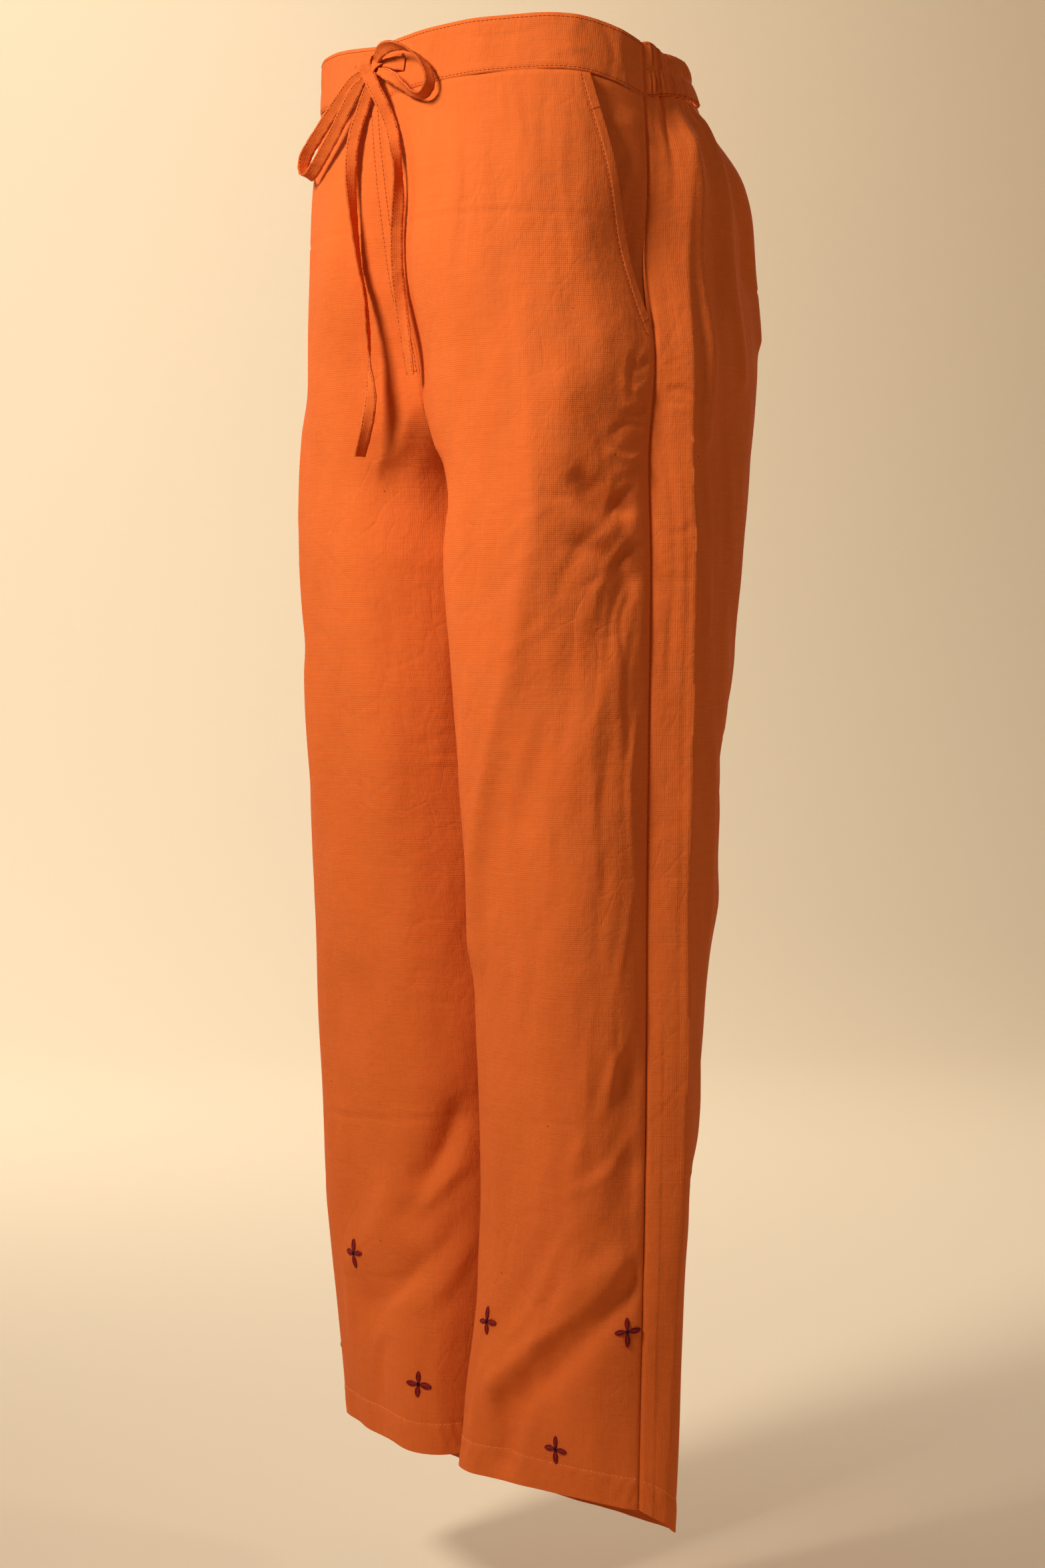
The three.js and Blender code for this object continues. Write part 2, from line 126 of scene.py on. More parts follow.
def face_outward(piece):
    only(piece)
    bpy.ops.object.mode_set(mode="EDIT")
    bpy.ops.mesh.select_all(action="SELECT")
    bpy.ops.mesh.normals_make_consistent(inside=False)
    bpy.ops.object.mode_set(mode="OBJECT")


def join_pieces(parts, name):
    only(parts[0])
    for part in parts[1:]:
        part.select_set(True)
    bpy.ops.object.join()
    parts[0].name = name
    return parts[0]


def smooth_step(start, end, value):
    share = np.clip((np.asarray(value, float) - start) / (end - start), 0, 1)
    return share * share * (3 - 2 * share)


def bump(distance, width):
    """1 on a line, and almost nothing from twice the width away."""
    return np.exp(-((distance / width) ** 2))


def unit(vectors):
    """Rows of vectors, each made one long."""
    return vectors / np.maximum(np.linalg.norm(vectors, axis=1), 1e-9)[:, None]


def lengths_along(points):
    """Length run so far at each point of a line."""
    return np.r_[0, np.cumsum(np.linalg.norm(np.diff(points, axis=0), axis=1))]


print("helpers for grids, joins and smooth steps are ready")

# %% [markdown]
# ## The drawstring
# The drawstring is one narrow strip of the same cotton, folded, pressed flat
# and stitched along both edges. It comes out of two buttonholes and is tied in
# a bow. A bow could be simulated as a rope, but its look hangs on each twist of
# the flat tape, so the routes are given point by point. They repeat the routes
# of the solids: x, y, z, and the turn of the tape about its own run.

# %% Routes of the drawstring
TAPE_WIDTH = 8.5
TAPE_WALL = 1.3
NECK = 0.55
NECK_LENGTH = 14
TAPE_WAVER = 0.02
KNOT = (1.5, -113.4, -21)
KNOT_CORE_RADIUS = 5.2

TAPE_ROUTES = {
    "lead_left": [
        (28.5, -106.9, -21.5, 0), (24, -108.2, -20.5, 0), (18, -109.4, -19.5, 0),
        (12.5, -110.6, -19, 0), (8.8, -111.6, -19.2, 0)],
    "lead_right": [
        (-28.5, -106.9, -22, 0), (-23, -108.2, -20.5, 0), (-16, -109.6, -18.5, 0),
        (-10, -110.8, -18, 0), (-5.6, -111.8, -18.8, 0)],
    "loop_left": [
        (7.3, -114.6, -17.2, 30), (15, -117, -13.5, 32), (24, -118.5, -11.5, 40), (34, -118, -12, 54),
        (44, -115.5, -15.5, 68), (52, -112, -22, 78), (57.5, -110, -30.5, 86), (59, -110, -38.5, 92),
        (53, -110.1, -44.4, 108), (44.5, -111.2, -43.2, 128), (34, -112, -37, 150),
        (25, -113.5, -30.5, 170), (16, -114, -26.3, 185), (8.3, -114, -23.8, 195)],
    "loop_right": [
        (-5.8, -114.6, -22.2, -30), (-13.5, -116.2, -26.4, -30), (-25, -116.8, -34.5, -30),
        (-38, -115.8, -42, -30), (-52, -113.6, -49.5, -32), (-66, -110.6, -56, -36),
        (-78, -108, -61.5, -44), (-86, -106.4, -67, -58), (-88.5, -106, -73.5, -80),
        (-84.5, -107.2, -79, -104), (-76, -109.4, -80, -122), (-63, -111.6, -73.5, -136),
        (-50, -113.4, -65, -144), (-37, -114.6, -55, -148), (-25, -115.4, -43.5, -150),
        (-14.6, -115.2, -33.6, -150), (-5, -114.4, -26.2, -150)],
    "tail_left": [
        (4.6, -118.2, -25.6, -40), (8.5, -117.6, -33, -42), (13, -115, -43, -45),
        (16.5, -111.6, -54, -48), (20, -111, -63, -50), (25, -112.4, -75, -72),
        (27.8, -112.1, -90, -100), (26, -110.6, -108, -70), (19.6, -107.2, -126, -50),
        (12.8, -102, -147, -42), (9.5, -97.6, -165, -52), (10.5, -94, -191, -20), (10.9, -90, -217, 4)],
    "tail_right": [
        (0.6, -113.6, -28.2, -30), (-4.6, -112.6, -36, -32), (-12, -111.4, -45.5, -34),
        (-18.4, -112, -57, -36), (-23, -112.2, -70.5, -42), (-24.6, -112.2, -90, -80),
        (-23.8, -110, -118, -110), (-22.8, -106.8, -144, -128), (-19.8, -104.4, -164, -132),
        (-17.9, -103.4, -188, -128), (-17, -102.6, -209.5, -150), (-17.2, -101.6, -229.5, -200),
        (-23.6, -100.6, -249, -240), (-33, -99.6, -268, -262)],
}


def smooth_route(route, steps):
    """Points on one smooth curve through a route, with every column carried along."""
    keys = np.asarray(route, float)
    keys = np.vstack([2 * keys[0] - keys[1], keys, 2 * keys[-1] - keys[-2]])
    made = []
    for spot in np.linspace(0, len(route) - 1, steps):
        low = min(int(spot), len(route) - 2)
        share = spot - low
        a, b, c, d = keys[low:low + 4]
        made.append(0.5 * (2 * b + (c - a) * share + (2 * a - 5 * b + 4 * c - d) * share ** 2
                           + (3 * b - a - 3 * c + d) * share ** 3))
    return np.array(made)


def route_steps(route):
    return 10 * (len(route) - 1) + 1


def tape_frames(route, steps):
    """Middle, direction across, direction through and length run so far, at each step."""
    line = smooth_route(route, steps)
    middle = line[:, :3]
    run = unit(np.gradient(middle, axis=0))
    to_front = np.array([0, -1, 0])
    across = unit(np.cross(run, to_front))
    turn = np.radians(line[:, 3])[:, None]
    across = across * np.cos(turn) + np.cross(run, across) * np.sin(turn)
    return middle, across, np.cross(across, run), lengths_along(middle)


print("routes for", ", ".join(TAPE_ROUTES))

# %% [markdown]
# The cross-section of the tape has two thick edges, where the cloth is folded
# in, and a slightly thinner middle. It is swept along the frames with its ends
# capped. Where a tape is drawn into the knot it narrows to less than half.

# %% Make the tapes
TAPE_SECTION = [(-1, -0.4), (-1, 0.4), (-0.88, 1), (-0.6, 1), (-0.3, 0.72), (0.3, 0.72),
                (0.6, 1), (0.88, 1), (1, 0.4), (1, -0.4), (0.88, -1), (0.6, -1),
                (0.3, -0.72), (-0.3, -0.72), (-0.6, -1), (-0.88, -1)]
OTHER_FACE = 20


def tape_width(lengths, necks):
    full = np.ones_like(lengths)
    from_start = smooth_step(0, NECK_LENGTH, lengths) if necks[0] else full
    from_end = smooth_step(0, NECK_LENGTH, lengths[-1] - lengths) if necks[1] else full
    return TAPE_WIDTH * (NECK + (1 - NECK) * np.minimum(from_start, from_end))


def make_tape(name, route, necks, steps):
    middle, across, through, lengths = tape_frames(route, steps)
    waver = TAPE_WAVER * np.sin(lengths * 0.9) + TAPE_WAVER * np.sin(lengths * 0.37)
    widths = tape_width(lengths, necks) * (1 + waver)
    ripple = 0.22 * np.sin(lengths * 0.52) + 0.15 * np.sin(lengths * 1.3)
    points, uvs = [], []
    for step in range(steps):
        for side, face in TAPE_SECTION:
            out = face * TAPE_WALL / 2 + ripple[step] * side * abs(side)
            away = side * widths[step] / 2
            points.append(middle[step] + across[step] * away + through[step] * out)
            uvs.append((away + (OTHER_FACE if face > 0 else 0), lengths[step]))
    count = len(TAPE_SECTION)
    faces = grid_faces(steps, count, closed=True)
    faces.append(tuple(range(count)))
    faces.append(tuple(reversed(range((steps - 1) * count, steps * count))))
    piece = mesh_piece(name, points, faces, uvs)
    face_outward(piece)
    smooth_by_angle(piece, 60)
    return piece, middle


TAPE_NECKS = {
    "lead_left": (False, True), "lead_right": (False, True), "loop_left": (True, True),
    "loop_right": (True, True), "tail_left": (False, False), "tail_right": (True, False)}
tapes, tape_lines = {}, {}
for short, route in TAPE_ROUTES.items():
    tapes[short], tape_lines[short] = make_tape("tape_" + short, route, TAPE_NECKS[short],
                                                route_steps(route))
    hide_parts("drawstring_" + short)
    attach(tapes[short], "root")
    print("tape", short, "is", round(lengths_along(tape_lines[short])[-1], 1), "mm long")

# %% [markdown]
# The knot is the tape wrapped on itself. A ball would look like a bead, so
# the knot is made of three short wraps: one runs over the front into the near
# end of the tape, and one crosses on each side of it. A small core inside
# closes the gaps.

# %% Make the knot
KNOT_WRAPS = [
    [(1.2, -110, -12.6, -20), (1.6, -117, -13.4, -30), (2.4, -119.7, -18, -36),
     (3.3, -119.4, -22.3, -40), (4.6, -118.2, -25.6, -40), (5.6, -118, -27.6, -41)],
    [(-6.4, -110, -16, 20), (-5, -115.4, -16.6, 20), (-2.4, -117.6, -19, 15),
     (0.6, -117.4, -22.6, 10), (2.6, -115.2, -26.6, 5), (3, -110, -28, 0)],
    [(7.6, -110, -17, -10), (7.2, -114.4, -18, -10), (5.6, -116.8, -20.6, -10),
     (3.6, -116.6, -24, -5), (2, -114.4, -27, 0), (2, -110, -28, 0)],
]


def make_knot():
    parts = [make_tape(f"knot_wrap_{index}", wrap, (False, False), 36)[0]
             for index, wrap in enumerate(KNOT_WRAPS)]
    deselect_all()
    bpy.ops.mesh.primitive_ico_sphere_add(subdivisions=3, radius=KNOT_CORE_RADIUS * MM,
                                          location=Vector(KNOT) * MM)
    core = bpy.context.object
    bpy.ops.object.mode_set(mode="EDIT")
    bpy.ops.mesh.select_all(action="SELECT")
    bpy.ops.transform.resize(value=(1.05, 0.85, 1.1))
    bpy.ops.object.mode_set(mode="OBJECT")
    bpy.ops.object.transform_apply(location=True, rotation=True, scale=True)
    core.data.uv_layers.active.name = "cloth"
    return join_pieces(parts + [core], "knot")


knot = make_knot()
smooth_by_angle(knot, 60)
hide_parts("drawstring_knot")
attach(knot, "root")
print("knot has", len(knot.data.polygons), "faces")

# %% [markdown]
# ## The shape of the cloth
# The body inside is a stack of rounded outlines, one for each level below the
# waist. These tables repeat the sizes of the solids, so the thin cloth lies
# just on their outer face. The shape between two rows is a smooth curve.

# %% Sections of the leg
BAND_HEIGHT = 35
CROTCH_LEVEL = 272
HEM_LEVEL = 940
CLEFT_WIDTH = 38
SECTION_SAMPLES = 160

# level, centre x, half width, centre y, turn, front, back, front flat, back flat,
# cleft, rear cleft, seam forward
SECTIONS = np.array([
    (0, 0, 150, -3, 0, 104, 101, 2.2, 2.2, 0, 0, 0),
    (38, 0, 152, -2, 0, 106, 105, 2.2, 2.2, 1, 0, 0),
    (90, 0, 156, 2, 0, 117, 148, 2.2, 2.2, 14, 3, 3),
    (150, 0, 155, 6, 0, 126, 159, 2.25, 2.2, 28, 6, 10),
    (210, 40, 124, 12, 1, 118, 131, 2.3, 2.2, 26, 6, 18),
    (272, 82.2, 82, 8, 5, 103, 107, 2.4, 2.2, 0, 0, 21),
    (340, 86, 81.5, 4, 8, 97, 97, 2.5, 2.2, 0, 0, 22),
    (450, 88, 83, 4.5, 3, 89, 83, 2.7, 2.2, 0, 0, 22),
    (560, 90, 84, 6.5, -3, 81, 64, 2.9, 2.2, 0, 0, 22),
    (670, 90.5, 83.5, 5, -3, 72, 48, 3.1, 2.3, 0, 0, 21),
    (780, 90.5, 82.5, 0.5, -1, 60, 36, 3.6, 2.3, 0, 0, 21),
    (870, 87.5, 80.5, -9, 9, 47, 30, 4.1, 2.4, 0, 0, 21),
    (940, 86, 80, -17, 17, 34.5, 23.5, 4.5, 2.4, 0, 0, 21),
])
WAIST_RISE = {
    "front": np.array([(0, -6), (0.25, -1), (0.5, 1), (0.75, 0), (1, -12)], float),
    "back": np.array([(0, -5), (0.5, -6), (0.85, -8), (1, -12)], float),
}
HEM_DROP = {
    "front": np.array([(0, 0), (0.8, 0), (1, 4)], float),
    "back": np.array([(0, 2), (0.3, 20), (0.86, 22), (0.93, 12), (1, 4)], float),
}


def read_table(table, values):
    """Smooth curve through the rows of a table, read at values of its first column."""
    keys, rows = table[:, 0], table[:, 1:]
    slopes = np.empty_like(rows)
    slopes[1:-1] = (rows[2:] - rows[:-2]) / (keys[2:] - keys[:-2])[:, None]
    slopes[0] = (rows[1] - rows[0]) / (keys[1] - keys[0])
    slopes[-1] = (rows[-1] - rows[-2]) / (keys[-1] - keys[-2])
    values = np.atleast_1d(np.asarray(values, float))
    low = np.clip(np.searchsorted(keys, values) - 1, 0, len(keys) - 2)
    step = (keys[low + 1] - keys[low])[:, None]
    share = np.clip((values[:, None] - keys[low][:, None]) / step, 0, 1)
    rest = 1 - share
    bend = rest * slopes[low] - share * slopes[low + 1]
    return ((1 + 2 * share) * rest ** 2 * rows[low] + share ** 2 * (3 - 2 * share) * rows[low + 1]
            + step * share * rest * bend)


def leg_outline(section, level):
    """Outline of the left leg: its points, the length run so far, and the side seam's place."""
    (centre_x, half_width, centre_y, turn, front, back,
     front_flat, back_flat, cleft, rear_cleft, seam_forward) = section
    crossing = max(-1, -centre_x / half_width) if level < CROTCH_LEVEL else -1
    across = np.cos(math.acos(crossing) * (1 - np.linspace(0, 1, SECTION_SAMPLES)))
    x = centre_x + half_width * across
    sink = bump(x, CLEFT_WIDTH)
    lean = centre_y + turn * across
    front_round = np.sqrt(np.clip(1 - abs(across) ** front_flat, 0, 1))
    back_round = np.sqrt(np.clip(1 - abs(across) ** back_flat, 0, 1))
    front_y = lean - front * front_round + max(cleft, 0) * sink
    back_y = lean + back * back_round - max(rear_cleft, 0) * sink
    points = np.vstack([np.c_[x, front_y], np.c_[x, back_y][-2::-1]])
    lengths = lengths_along(points)
    return points, lengths, lengths[SECTION_SAMPLES - 1] - seam_forward


OUTLINES = [leg_outline(section, level)
            for level, section in enumerate(read_table(SECTIONS, np.arange(HEM_LEVEL + 1)))]
SEAM_AT = np.array([seam for _, _, seam in OUTLINES])
TOTAL_AT = np.array([lengths[-1] for _, lengths, _ in OUTLINES])
print("outline of a leg is", round(TOTAL_AT[450]), "mm round at the knee")

# %% [markdown]
# A place on the cloth is named by its panel, its distance from the side seam
# and its level. That is how a maker measures cloth, and it keeps creases and
# stitches where they belong on both legs. This cell turns such places into
# points in space, pushed outward by any distance.

# %% Places on the cloth
WAIST_FADE = 170
HEM_START = 800


def panel_width(side, levels):
    seam = np.interp(levels, np.arange(HEM_LEVEL + 1), SEAM_AT)
    total = np.interp(levels, np.arange(HEM_LEVEL + 1), TOTAL_AT)
    return seam if side == "front" else total - seam


def on_outline(side, from_seam, levels):
    """x and y of places at distances from the side seam, for flat arrays."""
    levels = np.clip(levels, 0, HEM_LEVEL)
    low = np.minimum(levels.astype(int), HEM_LEVEL - 1)
    share = levels - low
    order = np.argsort(low, kind="stable")
    starts = np.r_[0, np.nonzero(np.diff(low[order]))[0] + 1, len(order)]
    made = np.zeros((len(levels), 2))
    for begin, end in zip(starts[:-1], starts[1:]):
        these = order[begin:end]
        for step in (0, 1):
            points, lengths, seam = OUTLINES[low[these[0]] + step]
            length = seam - from_seam[these] if side == "front" else seam + from_seam[these]
            weight = share[these] if step else 1 - share[these]
            made[these, 0] += weight * np.interp(length, lengths, points[:, 0])
            made[these, 1] += weight * np.interp(length, lengths, points[:, 1])
    return made


def cloth_places(side, leg, from_seam, levels, out):
    """Points in space of places on a panel, moved outward by out."""
    shape = np.broadcast(from_seam, levels, out).shape
    from_seam, levels, out = (np.broadcast_to(value, shape).ravel().astype(float)
                              for value in (from_seam, levels, out))
    place = on_outline(side, from_seam, levels)
    run = on_outline(side, from_seam + 1, levels) - on_outline(side, from_seam - 1, levels)
    run = unit(run * (-1 if side == "front" else 1))
    place = place + np.c_[run[:, 1], -run[:, 0]] * out[:, None]
    across = np.clip(1 - from_seam / panel_width(side, levels), 0, 1)
    near_waist = 1 - smooth_step(BAND_HEIGHT, WAIST_FADE, levels)
    near_hem = smooth_step(HEM_START, HEM_LEVEL, levels)
    rise = read_table(WAIST_RISE[side], across)[:, 0] * near_waist
    drop = read_table(HEM_DROP[side], across)[:, 0] * near_hem
    sign = 1 if leg == "left" else -1
    made = np.c_[place[:, 0] * sign, place[:, 1], rise - drop - levels]
    return made.reshape(shape + (3,))


print("a front panel is", round(float(panel_width("front", 450))), "mm wide at the knee")

# %% [markdown]
# ## Folds and creases
# Worn cotton shows three kinds of fold. Large soft ones hang from the hips,
# the seat and the knees. Small sharp ones start at the pocket, the crotch and
# the elastic. Faint straight ones were pressed in when the cloth lay folded. A
# cloth simulation gives folds in places of its own choosing, so here each is
# put in its place one by one. A row of a panel's table gives how wide the fold
# is, how high, and the two points or more that it runs through: distance from
# the side seam and level. A height below zero is a trough.

# %% Table of folds
LARGE_FOLDS = {
    "front_left": [
        (21, 4.6, (66, 235), (85, 350), (121, 445), (155, 585)),
        (9, -5.2, (24, 308), (36, 304), (50, 292)), (5, 1.2, (26, 328), (38, 318), (56, 312)),
        (7, -3, (20, 352), (34, 338), (52, 330)), (16, -2, (26, 360), (60, 420), (92, 500)),
        (13, -2.6, (12, 665), (22, 715)), (13, -3, (12, 725), (34, 778)),
        (10, -5.2, (4, 794), (25, 817), (64, 857), (98, 890), (106, 925)),
        (10, 4.4, (22, 784), (39, 803), (78, 843), (114, 876))],
    "front_right": [
        (21, 3.2, (80, 250), (88, 420), (118, 600)), (14, -3, (36, 300), (74, 390)),
        (14, -4, (187, 715), (147, 778)), (14, -4, (147, 818), (100, 850)),
        (14, 3, (140, 765), (84, 820))],
    "back_left": [
        (6, 3.4, (28, 36), (34, 90), (40, 190), (38, 260)),
        (6, -3, (46, 36), (54, 110), (58, 170)), (7, 3.4, (62, 36), (74, 120), (80, 220)),
        (7, -2.6, (80, 36), (96, 110), (100, 150)), (8, 3.2, (98, 36), (118, 120), (124, 190)),
        (9, 3, (128, 36), (152, 110)), (10, 3, (153, 36), (180, 95)),
        (18, -4, (250, 300), (118, 375)), (20, -4, (235, 350), (84, 470)),
        (20, 3, (80, 560), (165, 640)), (18, -4, (58, 740), (150, 820))],
    "back_right": [
        (6, 3.4, (26, 36), (36, 100), (40, 180)), (6, -2.8, (44, 36), (52, 90), (58, 160)),
        (7, 3.2, (60, 36), (72, 100), (78, 200)), (7, -2.6, (84, 36), (98, 90), (106, 140)),
        (8, 3, (108, 36), (122, 110), (128, 170)), (10, 3, (138, 36), (160, 110)),
        (10, 3, (170, 36), (192, 95)), (18, -4, (240, 305), (130, 365)),
        (20, -4, (205, 380), (60, 500)), (20, 3, (92, 590), (175, 680)),
        (18, -4, (66, 770), (155, 860))],
}
SMALL_FOLDS = {
    "front_left": [
        # below the near pocket, where the leg bends
        (7, 1.5, (90, 190), (86, 240), (81, 300), (84, 335), (89, 366),
         (96, 405), (118, 470), (146, 550)),
        (3, -1.4, (4, 212), (14, 218), (22, 212)), (3, 1.0, (4, 226), (16, 232), (26, 226)),
        (3, -1.5, (3, 240), (12, 246), (26, 250)), (3, -1.0, (14, 206), (20, 222), (18, 240)),
        (2.6, -0.9, (6, 256), (22, 254), (34, 262)), (2.6, 0.8, (5, 272), (20, 276), (36, 270)),
        (2.6, -0.8, (8, 284), (26, 290), (30, 300)), (3, -0.9, (40, 318), (62, 346), (70, 380)),
        (2.6, 0.9, (26, 332), (40, 356), (46, 390)), (2.6, -0.9, (14, 356), (24, 376), (22, 404)),
        (2.4, 0.5, (60, 300), (92, 318), (116, 350)),
        (2.4, -0.5, (70, 336), (100, 352), (120, 372)),
        (2.8, 0.8, (10, 430), (16, 480), (12, 540)), (3, -0.7, (28, 440), (36, 500), (30, 560)),
        (3, -0.7, (16, 580), (24, 630), (16, 690)), (3, 0.6, (36, 600), (44, 650), (42, 700)),
        (4, 0.5, (20, 262), (44, 284), (64, 310)), (4, -0.5, (50, 240), (40, 262), (36, 290)),
        (3.4, -1.2, (12, 290), (24, 300), (34, 314)), (3, 0.7, (10, 312), (26, 316), (40, 330)),
        (3.2, -1.1, (8, 330), (22, 336), (30, 352)), (2.4, 0.6, (16, 300), (40, 324), (66, 342)),
        (2.4, -0.7, (12, 322), (36, 348), (60, 360)),
        (2.6, -0.6, (30, 286), (58, 300), (84, 296)), (3, -0.9, (20, 344), (30, 372), (34, 410)),
        (3.4, 0.7, (40, 350), (50, 380), (52, 420)), (2.6, 0.6, (59, 358), (80, 384), (106, 402)),
        (3.4, -0.9, (14, 380), (20, 420), (16, 470)), (4, 0.7, (30, 400), (42, 450), (40, 510)),
        (4, -0.7, (56, 420), (66, 480), (62, 540)), (5, 0.8, (70, 420), (96, 480), (110, 540)),
        (6, -0.8, (60, 540), (84, 600), (92, 650)), (4.5, -0.7, (24, 500), (36, 560), (34, 620)),
        (3.4, 0.7, (12, 540), (20, 590), (24, 640)),
        # towards the crotch
        (5, 1.2, (214, 232), (190, 262), (170, 268)),
        (6, -1.4, (226, 256), (205, 290), (176, 306)),
        (9, 1.6, (252, 300), (236, 340), (226, 400)),
        (9, -1.0, (240, 420), (222, 500), (214, 580)),
        # above the hem
        (4, 1.3, (18, 640), (26, 662), (30, 690)), (5, -1.1, (30, 650), (40, 690), (38, 730)),
        (4, 1.1, (12, 700), (30, 726), (56, 740)), (5, -1.3, (40, 760), (58, 782), (70, 812)),
        (4, 1.4, (30, 800), (54, 824), (84, 846)), (6, -1.6, (104, 866), (110, 896), (102, 926)),
        (6, 1.1, (122, 850), (134, 880), (140, 920)), (5, 0.9, (84, 846), (80, 880), (88, 920)),
        (7, -0.8, (150, 780), (160, 830), (156, 880)),
        (8, -2.4, (10, 764), (30, 794), (52, 824), (80, 856), (106, 882), (118, 918)),
        (9, 1.6, (34, 752), (62, 788), (90, 826), (118, 860), (132, 904)),
        (6, -1.5, (14, 640), (20, 668), (34, 700)), (6, 1.2, (36, 690), (52, 724), (50, 760)),
        (7, -1.2, (92, 420), (110, 470), (128, 540), (134, 620)),
        (8, 1.0, (118, 330), (130, 400), (156, 470), (170, 560)),
        (4, -0.7, (132, 60), (128, 120), (134, 180)),
        (2.6, 0.45, (62, 60), (66, 100), (58, 140), (60, 180)),
        (2.6, -0.45, (72, 44), (78, 80), (76, 110)), (2.4, 0.4, (96, 40), (92, 70), (98, 96)),
        (5, -0.9, (190, 44), (184, 90), (188, 140), (198, 190)),
        (5, 0.6, (176, 60), (170, 110), (176, 170))],
    "front_right": [
        (5, -0.8, (196, 44), (190, 90), (194, 150)), (2.6, 0.45, (60, 46), (66, 92), (62, 150)),
        (2.6, -0.4, (84, 44), (80, 84), (88, 120)),
        (8, 1.2, (92, 200), (88, 250), (84, 320), (92, 380), (112, 470)),
        (3, -1.3, (4, 214), (16, 222), (26, 214)), (3, 1.0, (4, 236), (14, 244), (28, 246)),
        (3.2, -1.1, (10, 300), (26, 312), (40, 334)),
        (3.2, -0.9, (14, 340), (26, 370), (28, 420)),
        (7, -1.4, (196, 700), (180, 730), (152, 756), (128, 764)),
        (7, -1.6, (188, 780), (164, 806), (134, 826), (110, 834)),
        (6, 1.2, (190, 800), (168, 828), (140, 848)), (6, -1.4, (30, 270), (60, 300), (80, 318)),
        (6, 1.3, (24, 310), (44, 350), (50, 390)), (5, 1.2, (214, 235), (196, 262), (172, 276)),
        (9, 1.4, (236, 292), (224, 350), (214, 430)),
        (6, -1.6, (190, 700), (176, 736), (150, 770)),
        (5, 1.3, (196, 740), (170, 762), (140, 790)),
        (5, -1.5, (152, 815), (130, 834), (104, 846)), (6, 1.1, (120, 856), (96, 880), (88, 912)),
        (6, -1.0, (160, 860), (150, 890), (156, 925)), (8, -1.0, (60, 640), (76, 700), (70, 760)),
        (7, 1.1, (40, 780), (66, 830), (60, 880))],
    "back_left": [
        (2, -1.2, (2, 234), (13, 231), (25, 236)), (2, 0.8, (3, 246), (12, 243), (22, 246)),
        (3, -0.6, (9, 268), (14, 330), (10, 420)), (2, -0.6, (4, 318), (16, 322), (26, 314)),
        (2, -0.6, (3, 352), (14, 350), (24, 354)), (4, 1.2, (34, 240), (42, 320), (38, 400)),
        (5, -1.2, (52, 230), (60, 300), (58, 380)), (5, 1.1, (44, 420), (56, 520), (50, 620)),
        (7, -1.8, (262, 288), (210, 320), (150, 352)),
        (6, 1.6, (270, 310), (226, 346), (180, 372)),
        (7, -1.4, (240, 372), (190, 410), (150, 430)), (8, 1.2, (26, 300), (40, 380), (34, 470)),
        (10, -1.4, (60, 330), (90, 420), (84, 520)),
        (7, -1.5, (200, 520), (160, 560), (110, 570)),
        (6, 1.4, (190, 560), (150, 596), (120, 602)), (8, 1.1, (40, 640), (56, 720), (50, 790)),
        (8, -1.2, (180, 700), (150, 760), (120, 800)), (7, 1.2, (70, 840), (90, 880), (86, 930)),
        (7, -1.0, (150, 850), (140, 890), (146, 930))],
    "back_right": [
        (7, -1.8, (258, 292), (200, 318), (146, 344)),
        (6, 1.6, (266, 318), (214, 352), (170, 366)),
        (7, -1.3, (230, 384), (176, 420), (136, 446)), (8, 1.2, (30, 320), (46, 400), (38, 500)),
        (10, -1.2, (70, 360), (96, 450), (90, 540)),
        (7, -1.4, (206, 540), (150, 580), (104, 586)),
        (6, 1.2, (186, 590), (140, 616), (96, 640)), (8, 1.0, (46, 690), (60, 760), (52, 820)),
        (8, -1.1, (176, 740), (146, 800), (130, 850)), (7, 1.1, (90, 850), (104, 890), (98, 932))],
}
PRESSED_LINES = {
    "front_left": [
        (1.6, -0.5, (22, 125), (110, 122), (213, 121)), (1.6, -0.5, (44, 694), (95, 697)),
        (1.8, 0.4, (64, 440), (72, 560), (70, 660))],
    "front_right": [
        (1.6, -0.5, (212, 121), (120, 124), (24, 126)),
        (1.6, -0.7, (59, 720), (130, 716), (206, 710)),
        (1.6, -0.5, (28, 840), (100, 830), (187, 816)), (1.6, -0.5, (179, 462), (222, 448)),
        (1.5, 0.5, (186, 471), (218, 470)), (1.5, -0.5, (202, 516), (234, 514)),
        (1.8, 0.4, (64, 450), (66, 600), (62, 690))],
    "back_left": [
        (1.6, -0.6, (24, 158), (90, 160), (170, 156)),
        (1.6, -0.6, (10, 738), (60, 731), (120, 734)),
        (1.8, 0.5, (140, 300), (142, 480), (138, 640)), (1.6, -0.5, (40, 452), (180, 446))],
    "back_right": [
        (1.6, -0.6, (24, 157), (100, 160), (180, 158)), (1.6, -0.6, (14, 724), (110, 718)),
        (1.8, 0.5, (138, 320), (142, 500), (136, 660)), (1.6, -0.5, (50, 446), (190, 452))],
}
for title, table in (("large", LARGE_FOLDS), ("small", SMALL_FOLDS), ("pressed", PRESSED_LINES)):
    print(title, "folds:", sum(len(rows) for rows in table.values()))

# %% [markdown]
# Each fold is a soft bump across its line. Small folds fade out at their ends
# and have a shallow dip beside them, because cloth that is pushed up in one
# place is drawn in from the next. A little slow waving, from nine sine waves
# with fixed seeds, keeps the flat parts from looking like board.

# %% Height of the folds
CRISPNESS = 1.15
FLAT_TOP = 0.8
DIP_DEPTH = 0.4
DIP_OFFSET = 1.7
WAVES = 9
WAVE_STEEPNESS = 0.0045
# angle, length and start of a wave
WAVE_LIMITS = ((-1.1, 1.1), (16, 70), (0, 6.28))


